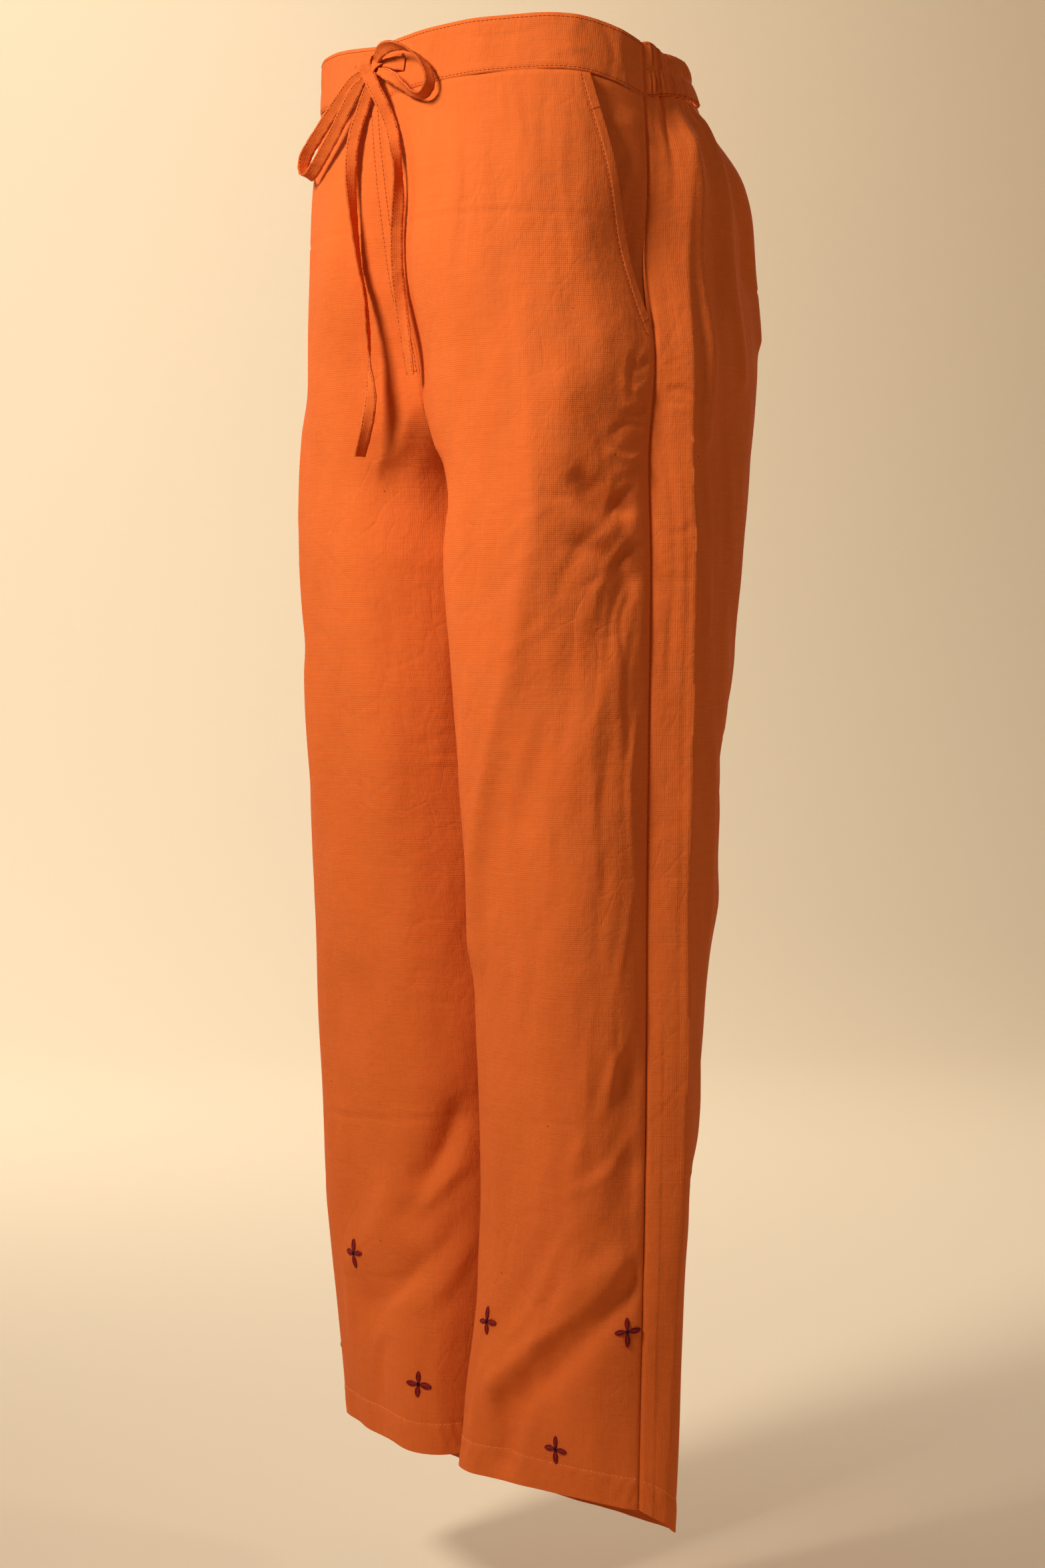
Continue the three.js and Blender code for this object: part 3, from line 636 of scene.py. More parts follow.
def distance_to_line(from_seam, levels, points):
    """Distance to a line through points, its sign by side, and the share run along it."""
    points = smooth_route(points, 12) if len(points) > 2 else np.asarray(points, float)
    spans = np.diff(points, axis=0)
    lengths = np.linalg.norm(spans, axis=1)
    best = np.full(np.shape(from_seam), 1e9)
    sign, share = np.zeros_like(best), np.zeros_like(best)
    for index, (start, span, length) in enumerate(zip(points[:-1], spans, lengths)):
        x, y = from_seam - start[0], levels - start[1]
        along = np.clip((x * span[0] + y * span[1]) / length ** 2, 0, 1)
        away = np.hypot(x - along * span[0], y - along * span[1])
        nearer = away < best
        best = np.where(nearer, away, best)
        sign = np.where(nearer, np.sign(x * span[1] - y * span[0]), sign)
        share = np.where(nearer, (lengths[:index].sum() + along * length) / lengths.sum(), share)
    return best, sign, share


def soft_folds(rows, from_seam, levels):
    """Height of folds that keep their height to both ends."""
    height = 0
    for width, lift, *points in rows:
        away, _, _ = distance_to_line(from_seam, levels, points)
        height = height + lift * bump(away, width)
    return height


def fold_height(panel, from_seam, levels):
    height = soft_folds(LARGE_FOLDS[panel], from_seam, levels)
    for width, lift, *points in SMALL_FOLDS[panel] + PRESSED_LINES[panel]:
        away, sign, share = distance_to_line(from_seam, levels, points)
        fade = np.clip(np.sin(np.pi * np.clip(share, 0.02, 0.98)), 0, 1) ** 0.6
        dip = bump(away * sign - DIP_OFFSET * width, width)
        rise = np.exp(-((away / width) ** 2) ** FLAT_TOP)
        height += lift * CRISPNESS * fade * (rise - DIP_DEPTH * dip)
    return height


def slow_waves(from_seam, levels, seed):
    picks = np.random.default_rng(seed)
    height = np.zeros(np.broadcast(from_seam, levels).shape)
    for _ in range(WAVES):
        angle, length, start = (picks.uniform(*limits) for limits in WAVE_LIMITS)
        way = from_seam * math.cos(angle) + levels * 0.45 * math.sin(angle)
        height += WAVE_STEEPNESS * length * np.sin(2 * math.pi * way / length + start)
    return height


# %% [markdown]
# The back of the band holds two rows of elastic, which gather it into small
# uneven puffs, and the gathers run on into the cloth below. Their places come
# from one seeded list for each side, so they differ from left to right.

# %% Gathers of the elastic
PANEL_SEEDS = {"front_left": 3, "front_right": 4, "back_left": 5, "back_right": 6}
PUFF_PITCH = 3.8
GATHER_PITCH = 8.5
GATHER_HEIGHT = 3.4
CHANNEL_HEIGHT = 1.8


def gather_list(seed, pitch, reach):
    picks = np.random.default_rng(seed)
    places = []
    at = picks.uniform(6, 9)
    while at < reach:
        places.append((at, picks.uniform(0.55, 1.1), picks.uniform(0.26, 0.4) * pitch,
                       picks.uniform(-2.2, 2.2)))
        at += pitch * picks.uniform(0.7, 1.35)
    return places


def band_gathers(panel, from_seam, levels):
    """Height of the puffs on the back of the band."""
    level_share = levels / BAND_HEIGHT
    channel = np.abs(np.sin(2 * np.pi * level_share)) ** 0.6
    valleys = np.zeros(np.broadcast(from_seam, levels).shape)
    lower_row = smooth_step(0.46, 0.54, level_share)
    for inside, seed in ((1 - lower_row, 11), (lower_row, 29)):
        for at, depth, width, lean in gather_list(seed + PANEL_SEEDS[panel], PUFF_PITCH, 210):
            shifted = from_seam - at - lean * (level_share - 0.5)
            valleys += inside * depth * 2.0 * np.exp(-np.abs(shifted / (0.75 * width)) ** 1.5)
    drawn = smooth_step(1, 7, from_seam)
    return drawn * (CHANNEL_HEIGHT * channel - valleys * (0.45 + 0.55 * channel))


def gathers_below(panel, from_seam, levels):
    """Height of the small folds that run down from the elastic."""
    height = np.zeros(np.broadcast(from_seam, levels).shape)
    picks = np.random.default_rng(90 + PANEL_SEEDS[panel])
    for at, share, width, lean in gather_list(60 + PANEL_SEEDS[panel], GATHER_PITCH, 200):
        reach = picks.uniform(22, 120)
        down = np.clip((levels - BAND_HEIGHT) / reach, 0, 1)
        spread = at * (1 + 0.24 * down) + lean * down * 3
        fade = (1 - down) ** 1.1
        away = np.abs(from_seam - spread) / (width * (0.9 + 1.1 * down))
        height -= share * GATHER_HEIGHT * fade * np.exp(-away ** 1.5)
    return height


# %% [markdown]
# The side seam lies in a long hollow. Behind it the seam allowance is pressed
# flat, so the cloth runs as a stiff strip to a sharp edge and only then turns
# to the back of the leg. The table gives, for each level, how deep the hollow
# is, how far behind the seam the edge lies and how far it stands out. The last
# number is how far the cloth turns in from the pocket's mouth to the seam.

# %% Form beside the side seam
# level, depth at the seam, distance of the edge, height of the edge, turn in
SIDE_FORM = np.array([
    (0, 0.3, 95, 0, 9.5), (36, 0.3, 85, 0, 10), (62, 1, 36, 0.5, 10.5), (90, 2, 27, 1.5, 10.5),
    (150, 3, 26, 3, 7.5), (210, 4.6, 23, 3.5, 3.6), (272, 8.5, 24, 4.5, 2), (340, 9.5, 26, 4.5, 0),
    (450, 9.5, 26, 4.5, 0), (560, 9.5, 24, 4.5, 0), (670, 9, 23, 4.5, 0), (780, 6.5, 22, 4, 0),
    (870, 3.6, 19, 3, 0), (940, 1.6, 17, 2, 0),
], float)
HOLLOW_REACH = 30
TURN_REACH = 54
EDGE_REACH = 9


def side_rows(levels):
    """Depth, edge distance, edge height and turn at each level."""
    rows = read_table(SIDE_FORM, np.ravel(levels))
    return rows.T.reshape((4,) + np.shape(levels))


def side_form(side, from_seam, levels):
    depth, edge, lift, turn = side_rows(levels)
    if side == "front":
        turned = np.sqrt((np.maximum(TURN_REACH - from_seam, 0) / TURN_REACH) ** 2 + 0.01) - 0.1
        return -depth * np.exp(-from_seam / HOLLOW_REACH) - turn * turned / (math.sqrt(1.01) - 0.1)
    strip = (depth + turn + lift) * from_seam / edge - depth - turn
    behind = lift * np.exp(-np.maximum(from_seam - edge, 0) / EDGE_REACH)
    return np.where(from_seam < edge, strip, behind)


print("the hollow is", SIDE_FORM[:, [1, 4]].sum(axis=1).max(), "mm deep at most")

# %% [markdown]
# ## The panels
# A maker cuts four long panels, two pocket facings and the band. Each panel
# here is one grid over its solid's outer face, finer than the solid, with all
# folds pushed in or out. At a seam the cloth dips, and low behind the side seam
# a faint step shows where the seam allowance is pressed back inside.

# %% Panel surface
POCKET_TOP_REACH = 45
POCKET_BOTTOM = 196
POCKET_CURVE = 0.9
POCKET_TUCK = 12
HEM_DEPTH = 20
HEM_STEP = 0.3
BAND_STITCH_INSET = 1.8
CLOTH_THICKNESS = 1.0
FACING_THICKNESS = 0.9
BAND_THICKNESS = 1.6
# how deep the cloth dips at a seam or a row of stitches, and over what width
SIDE_SEAM = (1.1, 1.5)
INSEAM = (0.8, 1.3)
BAND_SEAM = (0.7, 1.6)
BAND_EDGE = (0.9, 0.7)
FACING_SEAM = (0.8, 1.3)
SECOND_PRESS = (0.55, 1.1)
POCKET_ROW = (0.3, 0.8)
FLY_ROW = (0.3, 0.9)
SECOND_PRESS_INSET = 5
POCKET_ROW_DIP = 6.8
FLY_ROWS = (1.8, 9)
SEAM_CALM = 12


def dip_at(distance, seam):
    depth, width = seam
    return depth * bump(distance, width)


def pocket_reach(levels):
    share = np.clip((POCKET_BOTTOM - levels) / (POCKET_BOTTOM - BAND_HEIGHT), 0, 1)
    return POCKET_TOP_REACH * share ** POCKET_CURVE


def panel_out(panel, from_seam, levels):
    """How far the cloth of a panel stands out from the smooth form."""
    side = panel.split("_")[0]
    width = panel_width(side, levels)
    out = fold_height(panel, from_seam, levels) + slow_waves(from_seam, levels, PANEL_SEEDS[panel])
    edges = smooth_step(0, SEAM_CALM, from_seam) * smooth_step(0, SEAM_CALM, width - from_seam)
    out = out * edges * smooth_step(BAND_HEIGHT, BAND_HEIGHT + 20, levels)
    out = out + side_form(side, from_seam, levels)
    if side == "back":
        out = out + gathers_below(panel, from_seam, levels) * smooth_step(4, 14, from_seam)
        edge = side_rows(levels + 0 * from_seam)[1]
        second = smooth_step(280, 320, levels) * (1 - smooth_step(640, 700, levels))
        out = out - dip_at(from_seam - edge + SECOND_PRESS_INSET, SECOND_PRESS) * second
        out = out + 0.5 * (1 - smooth_step(8.2, 9.4, from_seam)) * smooth_step(600, 660, levels)
    else:
        from_edge = from_seam - pocket_reach(levels)
        beside_pocket = smooth_step(37, 44, levels) * (1 - smooth_step(186, 200, levels))
        rolled = 0.4 * (1 - smooth_step(5.2, 7.2, from_edge))
        rolled = rolled - dip_at(from_edge - POCKET_ROW_DIP, POCKET_ROW)
        beside_fly = 1 - smooth_step(205, 213, levels)
        out = out + rolled * beside_pocket
        out = out - dip_at(width - from_seam - FLY_ROWS[1], FLY_ROW) * beside_fly
    below_pocket = smooth_step(POCKET_BOTTOM - 20, POCKET_BOTTOM, levels) if side == "front" else 1
    out = out - dip_at(from_seam, SIDE_SEAM) * below_pocket
    out = out - dip_at(width - from_seam, INSEAM) - dip_at(levels - BAND_HEIGHT, BAND_SEAM)
    above_edge = HEM_LEVEL - levels
    pucker = (0.2 * np.sin(from_seam * 0.9) - 0.3) * bump(above_edge - HEM_DEPTH, 1.6)
    roping = np.sin(from_seam * 0.62 + above_edge * 0.25 + 1.4 * np.sin(from_seam * 0.11))
    in_hem = smooth_step(1, 8, above_edge) * (1 - smooth_step(16, 26, above_edge))
    pucker = pucker + 0.22 * roping * in_hem
    hem = HEM_STEP * smooth_step(HEM_LEVEL - HEM_DEPTH - 1, HEM_LEVEL - HEM_DEPTH + 1, levels)
    return out + hem + pucker


def panel_point(panel, from_seam, levels, more=0):
    side, leg = panel.split("_")
    out = panel_out(panel, np.asarray(from_seam, float), np.asarray(levels, float)) + more
    return cloth_places(side, leg, from_seam, levels, out)


# %% [markdown]
# The grid of a front panel ends at the slanted pocket edge. Rows are closer
# together at the crotch, where the seam turns sharply towards the back. The
# last millimetres of the side seam, in the hem, are left open as a short slit.

# %% Make the four panels
ROW_LEVELS = np.unique(np.concatenate([
    np.arange(BAND_HEIGHT - 0.4, 44, 0.9), np.arange(44, 252, 2.5), np.arange(252, 276, 1.2),
    np.arange(276, 916, 2.7), np.arange(916, HEM_LEVEL, 1.6), [HEM_LEVEL]]))
PANEL_COLUMNS = 124
HEM_SLIT = 1.1


def dense_edges(count):
    """Shares from 0 to 1 that lie closer together near both ends."""
    share = np.linspace(0, 1, count)
    return share - 0.11 * np.sin(2 * np.pi * share) / (2 * np.pi) * 7.5


def make_panel(side, leg):
    panel = f"{side}_{leg}"
    levels = ROW_LEVELS[:, None]
    width = panel_width(side, levels)
    near = pocket_reach(levels) if side == "front" else np.zeros_like(levels)
    if side == "front":
        near = near + HEM_SLIT * smooth_step(921, 924, levels) * (1 - smooth_step(934, 937, levels))
    share = dense_edges(PANEL_COLUMNS)[None, :]
    from_seam = width + (near - width) * share
    points = panel_point(panel, from_seam, levels + 0 * from_seam)
    rows, columns = from_seam.shape
    uvs = np.stack([from_seam, levels + 0 * from_seam], axis=-1)
    faces = grid_faces(rows, columns)
    if (side == "back") == (leg == "left"):
        faces = [face[::-1] for face in faces]
    return mesh_piece(f"cloth_{panel}", points.reshape(-1, 3), faces, uvs.reshape(-1, 2))


def give_thickness(piece, thickness):
    only(piece)
    solid = piece.modifiers.new("thickness", "SOLIDIFY")
    solid.thickness = thickness * MM
    solid.offset = -1
    bpy.ops.object.modifier_apply(modifier=solid.name)
    smooth_by_angle(piece)


def flat_area(piece):
    return sum(face.area for face in piece.data.polygons)


def keep_cloth(name, piece, thickness):
    """Measure a sheet of cloth, give it its thickness and keep it under the solid's name."""
    cloth_areas[name] = flat_area(piece)
    give_thickness(piece, thickness)
    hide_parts(name)
    cloth[name] = piece
    print(piece.name, "has", round(cloth_areas[name], 4), "square metres of cloth")


cloth, cloth_areas = {}, {}
for leg in ("left", "right"):
    for side in ("front", "back"):
        keep_cloth(f"{side}_{leg}", make_panel(side, leg), CLOTH_THICKNESS)

# %% [markdown]
# ## Pocket facings
# In the slanted opening shows the facing of the pocket bag. It is sewn in with
# the side seam and lies a little deeper than the front, so that the front's
# edge throws a thin shadow on it.

# %% Make the facings
FACING_DEPTH = 4.4
FACING_TOP_DEPTH = 1.4
FACING_BOTTOM = 208
FACING_COLUMNS = 34
FACING_FOLDS = [
    (4, 1.1, (2, 62), (16, 58), (40, 64)), (5, 1.2, (6, 82), (20, 100), (26, 130)),
    (3, -0.9, (4, 46), (22, 48), (38, 42)), (4, -0.9, (14, 70), (30, 92)),
    (4, 0.8, (4, 130), (10, 156)),
]


def make_facing(leg):
    levels = np.arange(BAND_HEIGHT - 0.4, FACING_BOTTOM, 2.0)[:, None]
    reach = pocket_reach(levels)
    share = np.linspace(0, 1, FACING_COLUMNS)[None, :]
    from_seam = (reach + POCKET_TUCK) * (1 - share)
    past_edge = reach - from_seam
    shown = smooth_step(2, np.maximum(reach, 25), past_edge)
    sink = FACING_TOP_DEPTH + (FACING_DEPTH - FACING_TOP_DEPTH) * smooth_step(36, 46, levels)
    out = side_form("front", from_seam, levels + 0 * from_seam) - sink * (1 - shown)
    free = smooth_step(0, 8, from_seam) * smooth_step(-2, 6, past_edge)
    for width, lift, *points in FACING_FOLDS:
        away, _, along = distance_to_line(from_seam, levels + 0 * from_seam, points)
        fade = np.sin(np.pi * np.clip(along, 0.02, 0.98))
        out = out + lift * fade * bump(away, width) * free
    out = out - dip_at(from_seam, FACING_SEAM) - dip_at(levels - BAND_HEIGHT, BAND_SEAM)
    points = cloth_places("front", leg, from_seam, levels, out)
    uvs = np.stack([from_seam + 3, levels * 1.01 + 0 * from_seam], axis=-1)
    faces = grid_faces(*from_seam.shape)
    if leg == "right":
        faces = [face[::-1] for face in faces]
    return mesh_piece(f"cloth_facing_{leg}", points.reshape(-1, 3), faces, uvs.reshape(-1, 2))


for leg in ("left", "right"):
    keep_cloth(f"pocket_facing_{leg}", make_facing(leg), FACING_THICKNESS)

# %% [markdown]
# ## The band
# The band is a strip folded double. At the front it is flat, drawn into slight
# wrinkles by the drawstring inside. At the back the elastic gathers it, and
# draws its top edge in and down. Right and left are made alike and then joined
# in the middle of the grid.

# %% Make the band
BAND_FOLDS = {
    "front_left": [
        (4, 0.8, (150, 4), (156, 18), (148, 32)), (3, -0.8, (172, 3), (166, 14), (174, 30)),
        (5, 0.7, (120, 2), (112, 20), (118, 34)), (5, -0.6, (84, 6), (76, 22), (80, 33)),
        (4, 0.7, (52, 2), (58, 16), (52, 32)), (3.2, -0.9, (34, 3), (28, 18), (32, 34)),
        (3, 1.1, (20, 2), (22, 16), (18, 34)), (2.4, -0.9, (10, 4), (9, 20), (11, 32)),
        (3, -0.5, (128, 10), (100, 14), (70, 8)), (3, 0.6, (66, 24), (44, 20), (26, 25)),
        (3.4, -0.8, (190, 6), (184, 20), (188, 33))],
    "front_right": [
        (4, 0.8, (150, 3), (146, 18), (152, 33)), (3, -0.8, (176, 2), (182, 16), (178, 31)),
        (5, 0.6, (116, 4), (122, 20), (114, 33)), (5, -0.7, (90, 2), (84, 18), (88, 34)),
        (4, 0.8, (58, 5), (52, 20), (56, 33)), (3.2, -0.9, (32, 3), (36, 18), (30, 32)),
        (3, 1.0, (18, 2), (14, 18), (19, 33)), (3, -0.5, (120, 22), (96, 18), (72, 24))],
}
BAND_CRISPNESS = 0.55
MIDDLE_CALM = 16
BAND_STAND = 0.35
ELASTIC_INWARD = 6
ELASTIC_DOWN = 7


def elastic_pull(from_seam, levels):
    """Share of the elastic's pull, which is strongest along the top edge."""
    return smooth_step(4, 30, from_seam) * (1 - levels / BAND_HEIGHT) ** 1.3


def band_place(side, leg, from_seam, levels, out):
    """Points of the band. The elastic draws the top edge of its back in and down."""
    pull = elastic_pull(from_seam, levels) if side == "back" else 0 * levels * from_seam
    points = cloth_places(side, leg, from_seam, levels, out - ELASTIC_INWARD * pull)
    points[..., 2] -= ELASTIC_DOWN * pull
    return points


def band_edges(levels):
    """How far a smooth band stands out, rounded at its top and drawn in at its seam."""
    return BAND_STAND - 0.8 * np.exp(-levels / 0.9) - dip_at(levels - BAND_HEIGHT, BAND_EDGE)


def band_out(panel, from_seam, levels):
    out = slow_waves(from_seam, levels, 20 + PANEL_SEEDS[panel]) * 0.6 * smooth_step(0, 10, from_seam)
    out = out + side_form(panel.split("_")[0], from_seam, levels)
    if panel.startswith("back"):
        out = out + band_gathers(panel, from_seam, levels)
    else:
        out = out + BAND_CRISPNESS * soft_folds(BAND_FOLDS[panel], from_seam, levels)
        out = out - 0.35 * bump(levels - BAND_HEIGHT + BAND_STITCH_INSET, 0.9)
    return out - 0.7 * bump(from_seam, 1.2) + band_edges(levels)


def make_band(side, spacing):
    levels = np.r_[np.arange(0, 3, 0.5), np.arange(3, 33, 1.0),
                   np.arange(33, BAND_HEIGHT + 0.01, 0.4)][:, None]
    width = panel_width(side, levels)
    share = np.linspace(0, 1, int(width[0, 0] / spacing))[None, :]
    halves, maps = [], []
    for leg in ("right", "left"):
        from_seam = width * share
        out = band_out(f"{side}_{leg}", from_seam, levels + 0 * from_seam)
        middle = smooth_step(0, MIDDLE_CALM, width - from_seam)
        out = out * middle + band_edges(levels) * (1 - middle)
        points = band_place(side, leg, from_seam, levels, out)
        uv = np.stack([from_seam, levels + 0 * from_seam + 7], axis=-1)
        halves.append(points if leg == "right" else points[:, ::-1])
        uv[..., 0] = from_seam if leg == "right" else 2 * width - from_seam
        maps.append(uv if leg == "right" else uv[:, ::-1])
    points = np.concatenate([halves[0], halves[1][:, 1:]], axis=1)
    points[:, halves[0].shape[1] - 1, 0] = 0
    uvs = np.concatenate([maps[0], maps[1][:, 1:]], axis=1)
    faces = grid_faces(points.shape[0], points.shape[1])
    if side == "back":
        faces = [face[::-1] for face in faces]
    return mesh_piece(f"cloth_band_{side}", points.reshape(-1, 3), faces, uvs.reshape(-1, 2))


for side, spacing in (("front", 1.8), ("back", 0.8)):
    keep_cloth(f"waistband_{side}", make_band(side, spacing), BAND_THICKNESS)

# %% [markdown]
# ## Sewing
# Machine stitches are short bars of thread that dip into the cloth at both
# ends. One stitch is modelled as a stretched sphere with few faces. It is then
# copied along each line, turned with the line and the cloth, and all stitches
# of one seam are kept as one piece.

# %% One stitch
HALF_STEP = 0.4


def take_mesh(model):
    """Points and faces of a model that is only copied from, and then removed."""
    face_outward(model)
    points = np.array([vertex.co for vertex in model.data.vertices])
    faces = [tuple(face.vertices) for face in model.data.polygons]
    bpy.data.objects.remove(model)
    return points, faces


def model_stitch():
    deselect_all()
    bpy.ops.mesh.primitive_uv_sphere_add(segments=6, ring_count=5, radius=0.5,
                                         rotation=(0, math.pi / 2, 0))
    bpy.ops.object.transform_apply(location=False, rotation=True, scale=False)
    return take_mesh(bpy.context.object)


STITCH_POINTS, STITCH_FACES = model_stitch()


def spaced_along(points, normals, pitch):
    """Places every pitch along a line, with the run and the normal there."""
    lengths = lengths_along(points)
    stops = np.arange(pitch / 2, lengths[-1], pitch)

    def read(values, at):
        return np.stack([np.interp(at, lengths, values[:, axis]) for axis in range(3)], axis=1)

    run = read(points, stops + HALF_STEP) - read(points, stops - HALF_STEP)
    return read(points, stops), unit(run), unit(read(normals, stops))


def stitch_rows(places, runs, normals, size):
    """Points of stitches at places. size is length, width and height."""
    across = unit(np.cross(normals, runs))
    points = places[:, None, :]
    for axis, way in enumerate((runs, across, normals)):
        points = points + (STITCH_POINTS[:, axis] * size[axis])[None, :, None] * way[:, None, :]
    return points.reshape(-1, 3)


def sew(name, rows):
    """One piece from rows of stitch points."""
    points = np.concatenate(rows)
    count = len(STITCH_POINTS)
    faces = [tuple(index + copy * count for index in face)
             for copy in range(len(points) // count) for face in STITCH_FACES]
    piece = mesh_piece(name, points, faces)
    only(piece)
    bpy.ops.object.shade_smooth()
    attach(piece, "root")
    print(name, "has", len(points) // count, "stitches")
    return piece


# %% [markdown]
# A seam line is drawn on a panel as distances from the side seam and levels.
# The normal of the cloth at each point comes from two small steps over it.
# Each kind of stitch has its pitch and its size: length, width and height.

# %% Seams on the panels
PLAIN_STITCH = (2.9, (2.3, 0.5, 0.42))
ELASTIC_STITCH = (2.6, (2.1, 0.5, 0.42))
CROSS_STITCH = (2.4, (2.3, 0.5, 0.42))
TACK_STITCH = (1.3, (1.2, 0.55, 0.5))
TAPE_STITCH = (2.6, (2.0, 0.42, 0.36))
BAND_TOP_ROW = 2.4
ELASTIC_ROWS = (1.6, 17.5, 33.6)
BAND_MIDDLE = 17
TACK_LEVELS = (57, 189)
POCKET_ROW_INSET = 6.5
FLY_TOP, FLY_BOTTOM = 37, 213
LEG_MIDDLE = 90
SMALL_STEP = 0.8


def line_on_panel(panel, points, steps=160, place=panel_point):
    if len(points) > 2:
        line = smooth_route(points, steps)
    else:
        line = np.linspace(points[0], points[1], steps)
    from_seam, levels = line[:, 0], line[:, 1]
    here = place(panel, from_seam, levels)
    beside = place(panel, from_seam + SMALL_STEP, levels) - place(panel, from_seam - SMALL_STEP, levels)
    below = place(panel, from_seam, levels + SMALL_STEP) - place(panel, from_seam, levels - SMALL_STEP)
    normals = unit(np.cross(beside, below))
    middle = np.array([LEG_MIDDLE if panel.endswith("left") else -LEG_MIDDLE, 0, 0])
    outward = (here - middle)[:, :2]
    flip = np.sign((normals[:, :2] * outward).sum(axis=1))
    return here, normals * np.where(flip == 0, 1, flip)[:, None]


def seam_stitches(panel, points, kind=PLAIN_STITCH, place=panel_point, steps=160):
    pitch, size = kind
    here, normals = line_on_panel(panel, points, steps, place)
    places, runs, normals = spaced_along(here, normals, pitch)
    return stitch_rows(places + normals * 0.08, runs, normals, size)


def band_point(panel, from_seam, levels):
    side, leg = panel.split("_")
    from_seam, levels = np.asarray(from_seam, float), np.asarray(levels, float)
    return band_place(side, leg, from_seam, levels, band_out(panel, from_seam, levels))


def width_at(side, level):
    return float(panel_width(side, level))


hem_rows, band_rows, pocket_rows, fly_rows = [], [], [], []
hem_line = HEM_LEVEL - HEM_DEPTH
band_line = BAND_HEIGHT - BAND_STITCH_INSET
for leg in ("left", "right"):
    front, back = f"front_{leg}", f"back_{leg}"
    for panel, side in ((front, "front"), (back, "back")):
        ends = [(2, hem_line), (width_at(side, hem_line) - 2, hem_line)]
        hem_rows.append(seam_stitches(panel, ends))
    ends = [(1, band_line), (width_at("front", band_line), band_line)]
    band_rows.append(seam_stitches(front, ends, place=band_point))
    back_middle = width_at("back", BAND_MIDDLE)
    for level in ELASTIC_ROWS:
        ends = [(2, level), (back_middle, level)]
        band_rows.append(seam_stitches(back, ends, ELASTIC_STITCH, band_point, 500))
    edge_levels = np.linspace(BAND_HEIGHT + 1, POCKET_BOTTOM + 2, 9)
    inside_edge = [(float(pocket_reach(level)) + POCKET_ROW_INSET, float(level))
                   for level in edge_levels]
    pocket_rows.append(seam_stitches(front, inside_edge))
    for level in TACK_LEVELS:
        reach = float(pocket_reach(level))
        ends = [(reach + 0.8, level - 2), (reach + 6.8, level + 1)]
        pocket_rows.append(seam_stitches(front, ends, TACK_STITCH))
for leg in ("left", "right"):
    ends = [(1, BAND_TOP_ROW), (width_at("front", BAND_TOP_ROW), BAND_TOP_ROW)]
    band_rows.append(seam_stitches(f"front_{leg}", ends, place=band_point))
for inside in FLY_ROWS:
    fly_rows.append(seam_stitches("front_right", [(width_at("front", level) - inside, level)
                                                  for level in np.linspace(FLY_TOP, FLY_BOTTOM, 9)]))
ends = [(width_at("front", FLY_BOTTOM) - inside, float(FLY_BOTTOM)) for inside in FLY_ROWS]
fly_rows.append(seam_stitches("front_right", ends, CROSS_STITCH, steps=20))
sewing = {name: sew(name, rows) for name, rows in (
    ("stitches_fly", fly_rows), ("stitches_hems", hem_rows),
    ("stitches_band", band_rows), ("stitches_pockets", pocket_rows))}

# %% [markdown]
# The tape is stitched along both edges, on both faces. The rows follow the
# same frames that the tape was swept along.

# %% Stitches on the drawstring
TAPE_ROW_SHARE = 0.37


def tape_stitches(short):
    route = TAPE_ROUTES[short]
    middle, across, through, lengths = tape_frames(route, route_steps(route))
    widths = tape_width(lengths, TAPE_NECKS[short])
    pitch, size = TAPE_STITCH
    rows = []
    for edge in (-1, 1):
        for face in (-1, 1):
            line = (middle + across * (edge * widths * TAPE_ROW_SHARE)[:, None]
                    + through * face * TAPE_WALL * 0.5)
            rows.append(stitch_rows(*spaced_along(line, through * face, pitch), size))
    return rows


tape_sewing = {}
for short in ("loop_left", "loop_right", "tail_left", "tail_right"):
    tape_sewing[short] = sew("stitches_" + short, tape_stitches(short))

# %% [markdown]
# ## Buttonholes
# The tape leaves the band through two upright buttonholes. Each is a narrow
# slit, a flat disc painted in deep shade, inside a close row of thread that
# runs round it.

# %% Make the buttonholes
HOLE_HEIGHT = 9.0
HOLE_WIDTH = 1.5
HOLE_FROM_SEAM = 177.5
HOLE_LEVEL = 16.5
HOLE_STITCH = (1.9, 0.55, 0.6)
HOLE_STITCHES = 60
FORWARD = np.array([0, -1, 0.0])


def make_buttonhole(leg):
    panel = f"front_{leg}"
    around = np.linspace(0, 2 * np.pi, HOLE_STITCHES + 1)[:-1]
    beside = (HOLE_WIDTH / 2 + 0.9) * np.cos(around) * (0.8 + 0.2 * abs(np.cos(around)))
    below = (HOLE_HEIGHT / 2 + 0.4) * np.sin(around)
    here = band_point(panel, HOLE_FROM_SEAM + beside, HOLE_LEVEL + below)
    centre = band_point(panel, [HOLE_FROM_SEAM], [HOLE_LEVEL])[0]
    inward = centre[None, :] - here
    inward[:, 2] *= 0.25
    inward -= (inward @ FORWARD)[:, None] * FORWARD
    normals = np.tile(FORWARD, (len(here), 1))
    return stitch_rows(here + normals * 0.2, unit(inward), normals, HOLE_STITCH), centre


hole_rows, slits = [], []
for leg in ("left", "right"):
    rows, centre = make_buttonhole(leg)
    hole_rows.append(rows)
    deselect_all()
    # The slit is a flat disc painted in deep shade.
    bpy.ops.mesh.primitive_circle_add(vertices=24, radius=0.5, fill_type="NGON",
                                      location=Vector(centre + FORWARD * 0.22) * MM,
                                      rotation=(math.pi / 2, 0, 0))
    slit = bpy.context.object
    slit.scale = (HOLE_WIDTH * MM, HOLE_HEIGHT * MM, MM)
    bpy.ops.object.transform_apply(location=True, rotation=True, scale=True)
    slits.append(slit)
buttonholes = sew("stitches_buttonholes", hole_rows)
slit_pair = join_pieces(slits, "buttonhole_slit_shade")
face_outward(slit_pair)
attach(slit_pair, "root")
print("buttonholes are", HOLE_HEIGHT, "mm high")

